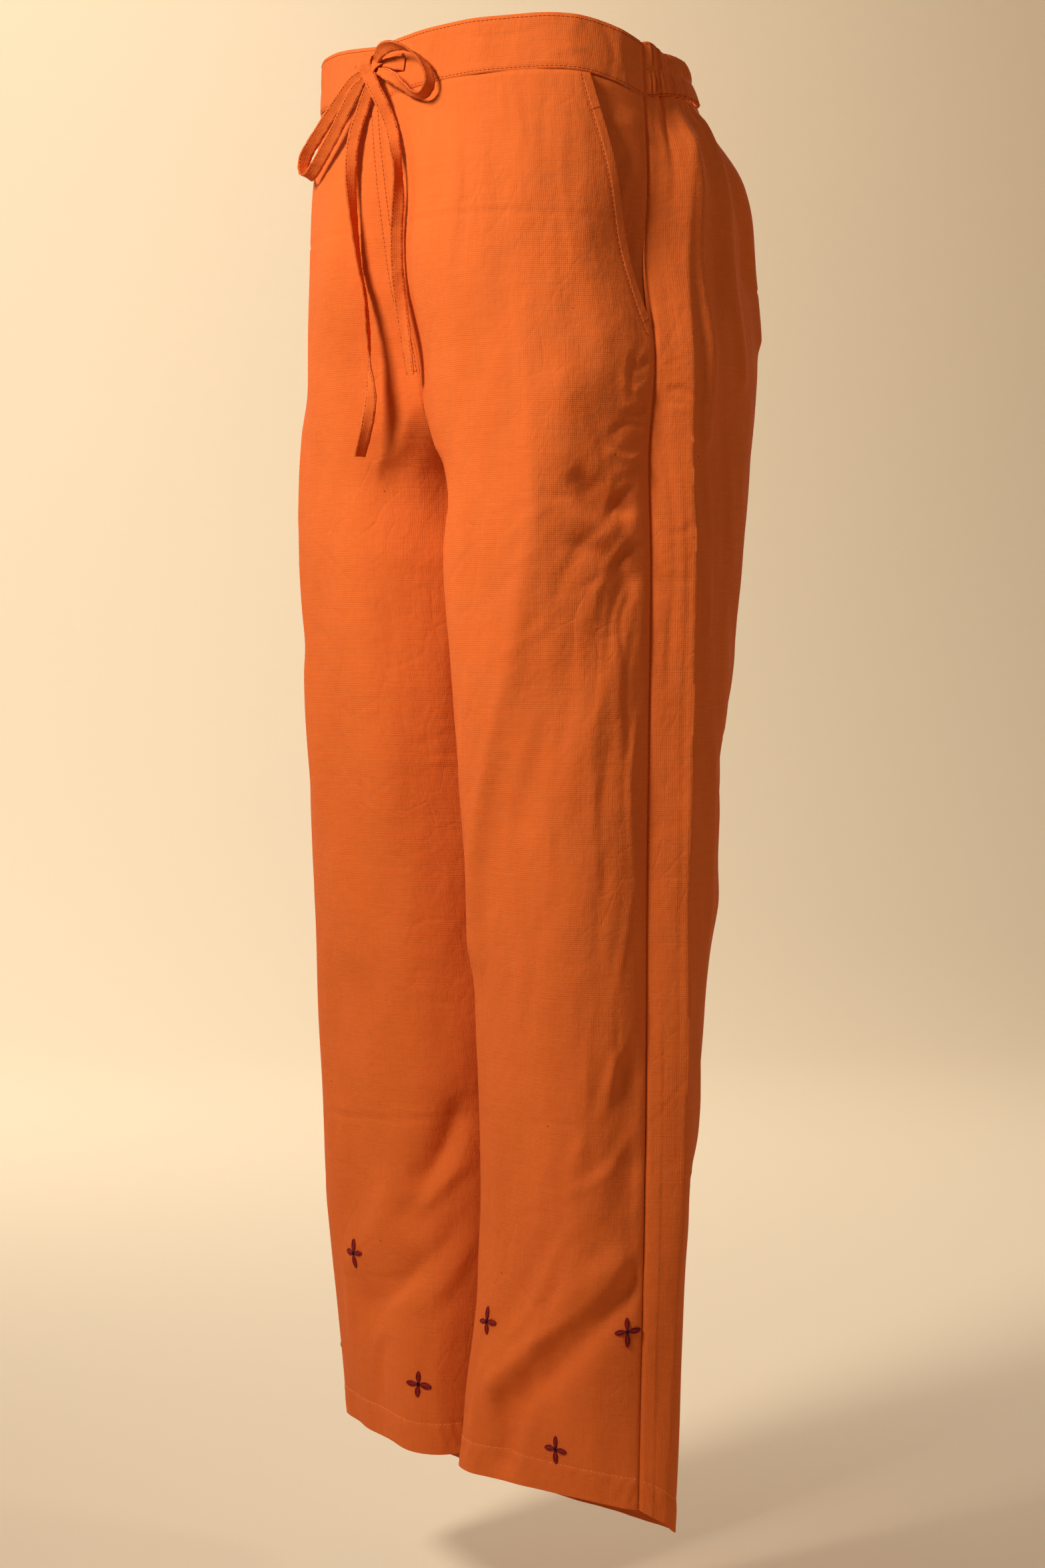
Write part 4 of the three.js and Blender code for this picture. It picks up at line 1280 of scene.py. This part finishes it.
# %% [markdown]
# ## Embroidery
# Small crosses of dark red thread are worked by hand above the hems. Each arm
# is a chain stitch: a loop of thread that is held down at its tip. One arm is
# modelled as a ring pinched at one end, with a straight thread inside it.

# %% One arm of a cross
ARM_LENGTH = 8.4
ARM_START = 0.5
ARM_ANGLES = (0, 60, 120)
CENTRE_STITCH = (3.0, 1.7, 1.7)
MOTIFS = [
    ("front_left", 130, 836, 4), ("front_left", 61, 910, -3), ("front_left", 11.5, 827, 6),
    ("front_right", 86, 815, -2), ("front_right", 147, 894, 3), ("front_right", 10, 893, -5),
]


def model_arm():
    """A pinched ring of thread along +X, from 0 to 1 long, flat in XY."""
    deselect_all()
    bpy.ops.mesh.primitive_torus_add(major_segments=26, minor_segments=8,
                                     major_radius=0.5, minor_radius=0.075)
    ring = bpy.context.object
    for vertex in ring.data.vertices:
        along = vertex.co.x + 0.5
        vertex.co.y *= 0.4 * (0.5 + 0.5 * float(smooth_step(0, 0.5, along)))
        vertex.co.x = along
        vertex.co.z *= 1.1
    deselect_all()
    bpy.ops.mesh.primitive_uv_sphere_add(segments=8, ring_count=10, radius=0.5,
                                         location=(0.45, 0, 0.01), rotation=(0, math.pi / 2, 0))
    filling = bpy.context.object
    bpy.ops.object.transform_apply(location=True, rotation=True, scale=False)
    for vertex in filling.data.vertices:
        vertex.co = Vector((0.05 + vertex.co.x, vertex.co.y * 0.3, vertex.co.z * 0.13))
    return take_mesh(join_pieces([ring, filling], "arm"))


ARM_POINTS, ARM_FACES = model_arm()
print("one arm has", len(ARM_FACES), "faces")

# %% [markdown]
# Each cross has four arms, which a hand never works quite alike, so their
# turn, length and width vary a little by a seeded draw. The flat cross is laid
# on the cloth through the same places as the panel's own grid, and three short
# thick stitches tie its centre down.

# %% Work the crosses


def cross_on_panel(panel, from_seam, level, turn):
    """Points and faces of one cross, bent onto the cloth."""
    picks = np.random.default_rng(int(from_seam * 7 + level))
    points, faces = [], []
    for arm in range(4):
        angle = math.radians(turn + 90 * arm + picks.uniform(-6, 6))
        length = ARM_LENGTH * picks.uniform(0.92, 1.12)
        x = ARM_START + ARM_POINTS[:, 0] * length
        y = ARM_POINTS[:, 1] * length * picks.uniform(0.9, 1.15)
        beside = x * math.cos(angle) - y * math.sin(angle)
        below = x * math.sin(angle) + y * math.cos(angle)
        faces += [tuple(index + arm * len(ARM_POINTS) for index in face) for face in ARM_FACES]
        height = ARM_POINTS[:, 2] * length * 0.8 + 0.3
        points.append(panel_point(panel, from_seam + beside, level + below, height))
    return np.concatenate(points), faces


motif_points, motif_faces, knot_rows = [], [], []
for panel, from_seam, level, turn in MOTIFS:
    points, faces = cross_on_panel(panel, from_seam, level, turn)
    start = sum(len(done) for done in motif_points)
    motif_faces += [tuple(index + start for index in face) for face in faces]
    motif_points.append(points)
    here, normals = line_on_panel(panel, [(from_seam - 1, level), (from_seam + 1, level)], steps=3)
    normal = normals[1:2]
    for angle in ARM_ANGLES:
        run = np.array([[math.cos(math.radians(angle)), 0, math.sin(math.radians(angle))]])
        run = unit(run - (run * normal).sum() * normal)
        knot_rows.append(stitch_rows(here[1:2] + normal * 0.8, run, normal, CENTRE_STITCH))
crosses = mesh_piece("embroidered_crosses", np.concatenate(motif_points), motif_faces)
face_outward(crosses)
only(crosses)
bpy.ops.object.shade_smooth()
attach(crosses, "root")
centre_knots = sew("embroidered_centres", knot_rows)

# %% [markdown]
# ## Ride
# Every piece of cloth rides on the root. A table lists the size of each cut,
# how it is held and the piece that carries it: the band carries the panels.
# The cuts aren't rectangles; their flat areas were measured from the cloth
# before its thickness. A second table lists which of the drawstring's other
# pieces go with its two ends.

SHEETS = {
    "front_left": ((0.28, 0.91), "hung", "waistband_front"),
    "front_right": ((0.28, 0.91), "hung", "waistband_front"),
    "back_left": ((0.325, 0.93), "hung", "waistband_back"),
    "back_right": ((0.325, 0.93), "hung", "waistband_back"),
    "pocket_facing_left": ((0.06, 0.175), "stretched", "waistband_front"),
    "pocket_facing_right": ((0.06, 0.175), "stretched", "waistband_front"),
    "waistband_front": ((0.42, 0.036), "stretched", "front_left"),
    "waistband_back": ((0.62, 0.036), "gathered", "back_left"),
}
for name, piece in cloth.items():
    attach(piece, "root")
    size, held, carrier = SHEETS[name]

TAPE_ENDS = {
    "loop_left": ("object", []), "loop_right": ("object", []),
    "tail_left": ("bare", [knot, tapes["lead_left"]]), "tail_right": ("bare", [tapes["lead_right"]])}
for short, (far_end, pieces) in TAPE_ENDS.items():
    pieces + [tape_sewing[short]]
print(len(SHEETS), "sheets and", len(TAPE_ENDS), "cords are declared")

# %% [markdown]
# ## Finishes
# A finish is a small network of nodes. Writing it as Python sums reads better
# than a list of links, so one class wraps a socket and gives it +, *, < and >,
# and one method makes every other node from its type, settings and inputs.

# %% Node helpers


class Amount:
    """A number from a socket, which Python's own signs work on."""

    def __init__(self, finish, socket):
        self.finish = finish
        self.socket = socket

    def maths(self, operation, first, second):
        return self.finish.node("ShaderNodeMath", {"operation": operation}, {0: first, 1: second})

    def __add__(self, other):
        return self.maths("ADD", self, other)

    __radd__ = __add__

    def __mul__(self, other):
        return self.maths("MULTIPLY", self, other)

    def __gt__(self, other):
        return self.maths("GREATER_THAN", self, other)

    def __lt__(self, other):
        return self.maths("LESS_THAN", self, other)


class Finish:
    """A material whose nodes are made one by one."""

    def __init__(self, name):
        self.material = bpy.data.materials.new(name)
        self.material.use_nodes = True
        self.tree = self.material.node_tree
        self.tree.nodes.clear()
        self.output = self.tree.nodes.new("ShaderNodeOutputMaterial")

    def place(self, coordinates, scale):
        return self.node("ShaderNodeMapping", {}, {"Vector": coordinates, "Scale": scale})

    def node(self, kind, settings=None, inputs=None, output=0):
        made = self.tree.nodes.new(kind)
        for name, value in (settings or {}).items():
            setattr(made, name, value)
        for name, value in (inputs or {}).items():
            if isinstance(value, Amount):
                self.tree.links.new(value.socket, made.inputs[name])
            else:
                made.inputs[name].default_value = value
        return Amount(self, made.outputs[output])

    def uv(self, scale):
        return self.place(self.node("ShaderNodeUVMap", {"uv_map": "cloth"}), scale)

    def object_place(self, scale):
        return self.place(self.node("ShaderNodeTexCoord", output="Object"), scale)

    def noise(self, place, scale, detail=2.0, roughness=0.5):
        return self.node("ShaderNodeTexNoise", {},
                         {"Vector": place, "Scale": scale, "Detail": detail, "Roughness": roughness})

    def mix(self, share, first, second):
        return self.node("ShaderNodeMix", {"data_type": "RGBA"}, {0: share, 6: first, 7: second}, 2)

    def between(self, value, low, high):
        """0 at low, 1 at high, and clamped outside."""
        return self.node("ShaderNodeMapRange", {}, {"Value": value, "From Min": low, "From Max": high})

    def finish_with(self, colour, roughness, height=None, depth=0.001):
        inputs = {"Base Color": colour, "Roughness": roughness, "Specular IOR Level": 0.15}
        if height is not None:
            inputs["Normal"] = self.node("ShaderNodeBump", {}, {"Height": height, "Distance": depth})
        shader = self.node("ShaderNodeBsdfPrincipled", {}, inputs)
        self.tree.links.new(shader.socket, self.output.inputs["Surface"])
        return self.material


print("every finish goes on one of", len(cloth) + len(tapes), "pieces of cloth and tape, or on thread")

# %% [markdown]
# Plain-weave cotton has threads of uneven thickness. Thick places, called
# slubs, show as short streaks along both directions, and small dark specks of
# seed are caught in the yarn. Both read the cloth's own UV map, whose unit is
# the metre, so a streak stays one thread wide on every piece. The weave itself
# and a soft crumple go into the bump.

# %% Cotton
RUST_LIT = (0.74, 0.145, 0.024, 1)
RUST_DEEP = (0.6, 0.111, 0.0165, 1)
RUST_DARK = (0.09, 0.012, 0.002, 1)
THREAD_SCALE = 1500
WEAVE_SCALE = 255.0
SPECK_SIZE = 0.024
CLOTH_BUMP = 0.0011


def cotton(name, deep_share=0.0):
    finish = Finish(name)
    warp = finish.noise(finish.uv((THREAD_SCALE, 26, 1)), 1.0, 1.5)
    weft = finish.noise(finish.uv((22, THREAD_SCALE, 1)), 1.0, 1.5)
    threads = finish.between(warp, 0.3, 0.7) * 0.5 + finish.between(weft, 0.3, 0.7) * 0.5
    blotch = finish.noise(finish.uv((14, 9, 1)), 1.0, 2.0)
    # deep_share moves a whole piece towards the deep tone: on the pocket facing it is painted shade for
    # its hollow, on the tape a slightly darker tone.
    share = threads * 0.45 + finish.between(blotch, 0.3, 0.7) * 0.35 + deep_share
    colour = finish.mix(share, RUST_LIT, RUST_DEEP)
    cells = finish.node("ShaderNodeTexVoronoi", {}, {"Vector": finish.uv((46, 34, 1)), "Scale": 1.0})
    chosen = finish.noise(finish.uv((23, 19, 1)), 1.0, 0.0) > 0.56
    speck = (cells < SPECK_SIZE) * chosen
    colour = finish.mix(speck * 0.7, colour, RUST_DARK)
    warp_wave, weft_wave = [
        finish.node("ShaderNodeTexWave", {"bands_direction": direction},
                    {"Vector": finish.uv((1, 1, 1)), "Scale": WEAVE_SCALE, "Distortion": 0.4})
        for direction in "XY"]
    crumple = finish.noise(finish.uv((70, 46, 1)), 1.0, 3.0, 0.55)
    drift = finish.node("ShaderNodeTexNoise", {}, {"Vector": finish.uv((9, 7, 1)), "Scale": 1.0}, 1)
    wander = finish.node("ShaderNodeMix", {"data_type": "VECTOR"},
                         {0: 0.35, 4: finish.uv((50, 34, 1)), 5: drift}, 1)
    creases = 0
    for scale, depth in ((1.0, 0.2), (2.1, 0.11)):
        edges = finish.node("ShaderNodeTexVoronoi", {"feature": "DISTANCE_TO_EDGE"},
                            {"Vector": wander, "Scale": scale})
        patches = finish.noise(finish.uv((9 * scale, 7 * scale, 1)), 1.0, 1.0)
        shown = finish.between(patches, 0.48, 0.66)
        creases = creases + finish.between(edges, 0, 0.07) * shown * depth
    height = warp_wave * 0.05 + weft_wave * 0.05 + threads * 0.1 + crumple * 1.2 + creases
    roughness = finish.between(threads, 0, 1) * 0.1 + 0.8
    return finish.finish_with(colour, roughness, height, CLOTH_BUMP)


def put_on(piece, material):
    piece.data.materials.clear()
    piece.data.materials.append(material)


cloth_finish = cotton("rust_cotton")
# The facing's cotton is mixed a little darker: painted shade for the hollow of the pocket's mouth.
facing_shade_finish = cotton("rust_cotton_facing_painted_shade", 0.08)
tape_finish = cotton("rust_cotton_tape", 0.05)
for name, piece in cloth.items():
    put_on(piece, facing_shade_finish if "facing" in name else cloth_finish)
for piece in [*tapes.values(), knot]:
    put_on(piece, tape_finish)
print("cotton is on", len(cloth) + len(tapes) + 1, "pieces")

# %% [markdown]
# Thread is twisted, so its colour varies finely along it and it has a soft
# shine. The other seams and the tape are sewn with a dark rust thread, much
# darker than the cloth: partly the thread's own colour, partly painted shade
# for the dips of the stitch holes. The hems are sewn with a paler thread and
# the crosses worked with a dark red one. The slits are only deep shade.

# %% Thread finishes


def thread(name, light, dark, scale, shine):
    finish = Finish(name)
    twist = finish.noise(finish.object_place((scale, scale, scale * 0.6)), 1.0, 2.0)
    share = finish.between(twist, 0.35, 0.65)
    colour = finish.mix(share, light, dark)
    return finish.finish_with(colour, share * 0.1 + shine, twist, 0.0002)


# The dark rust thread is partly its own colour and partly painted shade of the stitch holes.
thread_and_hole_shade_finish = thread("rust_thread_and_hole_shade", (0.36, 0.05, 0.009, 1), (0.2, 0.026, 0.005, 1), 2200, 0.6)
hem_finish = thread("pale_thread", (0.95, 0.3, 0.09, 1), (0.75, 0.18, 0.04, 1), 2200, 0.6)
embroidery_finish = thread("maroon_thread", (0.3, 0.014, 0.016, 1), (0.14, 0.008, 0.01, 1),
                           1500, 0.6)
knot_finish = thread("dark_thread", (0.035, 0.006, 0.009, 1), (0.012, 0.004, 0.008, 1),
                     1500, 0.6)
slit_finish = thread("slit_shade", (0.05, 0.009, 0.004, 1), (0.02, 0.004, 0.002, 1), 600, 0.9)
for piece in [*sewing.values(), *tape_sewing.values(), buttonholes]:
    put_on(piece, thread_and_hole_shade_finish)
put_on(sewing["stitches_hems"], hem_finish)
put_on(crosses, embroidery_finish)
put_on(centre_knots, knot_finish)
put_on(slit_pair, slit_finish)
print(len(bpy.data.materials), "finishes in the file")

# %% [markdown]
# ## Floor and light
# The studio is a pale floor that curves up into pale walls all round, so that
# every side of the pants has something pale behind it.

# %% Floor
FLOOR_LEVEL = -1.06
FLOOR_SIZE = 9
WALL_HEIGHT = 5
WALL_BEND = 1.8


def make_floor():
    deselect_all()
    bpy.ops.mesh.primitive_plane_add(size=FLOOR_SIZE, location=(0, 0, FLOOR_LEVEL))
    floor = bpy.context.object
    floor.name = "floor"
    floor.rotation_euler.z = EYE_AZIMUTH
    bpy.ops.object.transform_apply(location=True, rotation=True, scale=False)
    bpy.ops.object.mode_set(mode="EDIT")
    bpy.ops.mesh.select_mode(type="EDGE")
    bpy.ops.mesh.select_all(action="SELECT")
    bpy.ops.mesh.extrude_edges_move(TRANSFORM_OT_translate={"value": (0, 0, WALL_HEIGHT)})
    bpy.ops.object.mode_set(mode="OBJECT")
    bend = floor.modifiers.new("bend", "BEVEL")
    bend.width = WALL_BEND
    bend.segments = 24
    bend.limit_method = "ANGLE"
    bpy.ops.object.modifier_apply(modifier=bend.name)
    smooth_by_angle(floor, 60)
    return floor


floor = make_floor()
pale = Finish("pale_studio")
mottle = pale.noise(pale.object_place((1, 1, 1)), 1.3, 2.0)
floor.data.materials.append(pale.finish_with(
    pale.mix(mottle * 0.2, (0.8, 0.67, 0.5, 1), (0.76, 0.62, 0.45, 1)), mottle * 0.05 + 0.8))

# %% [markdown]
# The main light stands straight in front of the wearer and above. The camera is
# at the side, so it sees the front lit, the bow's shadow on it, and the pocket
# side in shade. Three weaker lights open the shade on the other sides, and one
# lights the wall that the camera sees. The "Standard" view shows a saturated
# orange as it is, where the default view would turn it pink.

# %% Lights
HIPS = (0, 0, -0.25)
THIGHS = (0, 0, -0.35)
WARM = (1, 0.96, 0.9)
WALL_WARM = (1, 0.95, 0.87)
WORLD_COLOUR = (1, 0.93, 0.82, 1)
WORLD_STRENGTH = 0.09
MAIN_SPREAD = math.radians(75)
# name, azimuth, elevation, distance, size, power
FILLS = [
    ("back_fill", 208, 30, 2.6, 1.2, 12),
    ("left_fill", -75, 20, 3.0, 1.6, 12),
    ("right_fill", 120, 26, 3.0, 0.6, 10),
]


def area_light(name, place, target, size, power, colour):
    """A round light at place that faces target, both in metres."""
    way = Vector(place) - Vector(target)
    bpy.ops.object.light_add(type="AREA", location=place,
                             rotation=way.to_track_quat("Z", "Y").to_euler())
    light = bpy.context.object
    light.name = name
    light.data.shape = "DISK"
    light.data.size = size
    light.data.energy = power
    light.data.color = colour
    return light


def around(azimuth, elevation, distance):
    """A place that far from the hips, seen at an azimuth and elevation."""
    turn, lift = math.radians(azimuth), math.radians(elevation)
    return (math.sin(turn) * math.cos(lift) * distance, -math.cos(turn) * math.cos(lift) * distance,
            math.sin(lift) * distance + HIPS[2])


deselect_all()
bpy.context.scene.view_settings.view_transform = "Standard"
main_light = area_light("main_light", around(5, 33, 1.5), THIGHS, 0.4, 5.0, WARM)
main_light.data.spread = MAIN_SPREAD
for name, azimuth, elevation, distance, size, power in FILLS:
    area_light(name, around(azimuth, elevation, distance), HIPS, size, power, WARM)
beyond = -Vector((math.sin(EYE_AZIMUTH), -math.cos(EYE_AZIMUTH), 0))
wall_place = beyond * 1.9 - picture_right * 1.3 + Vector((0, 0, 1.7))
wall_target = beyond * 3.6 - picture_right * 1.1 + Vector((0, 0, -0.1))
area_light("wall_light", wall_place, wall_target, 2.0, 95, WALL_WARM)
world = bpy.data.worlds.new("studio")
bpy.context.scene.world = world
world.use_nodes = True
background = world.node_tree.nodes["Background"]
background.inputs["Color"].default_value = WORLD_COLOUR
background.inputs["Strength"].default_value = WORLD_STRENGTH
print(len(FILLS) + 2, "lights")
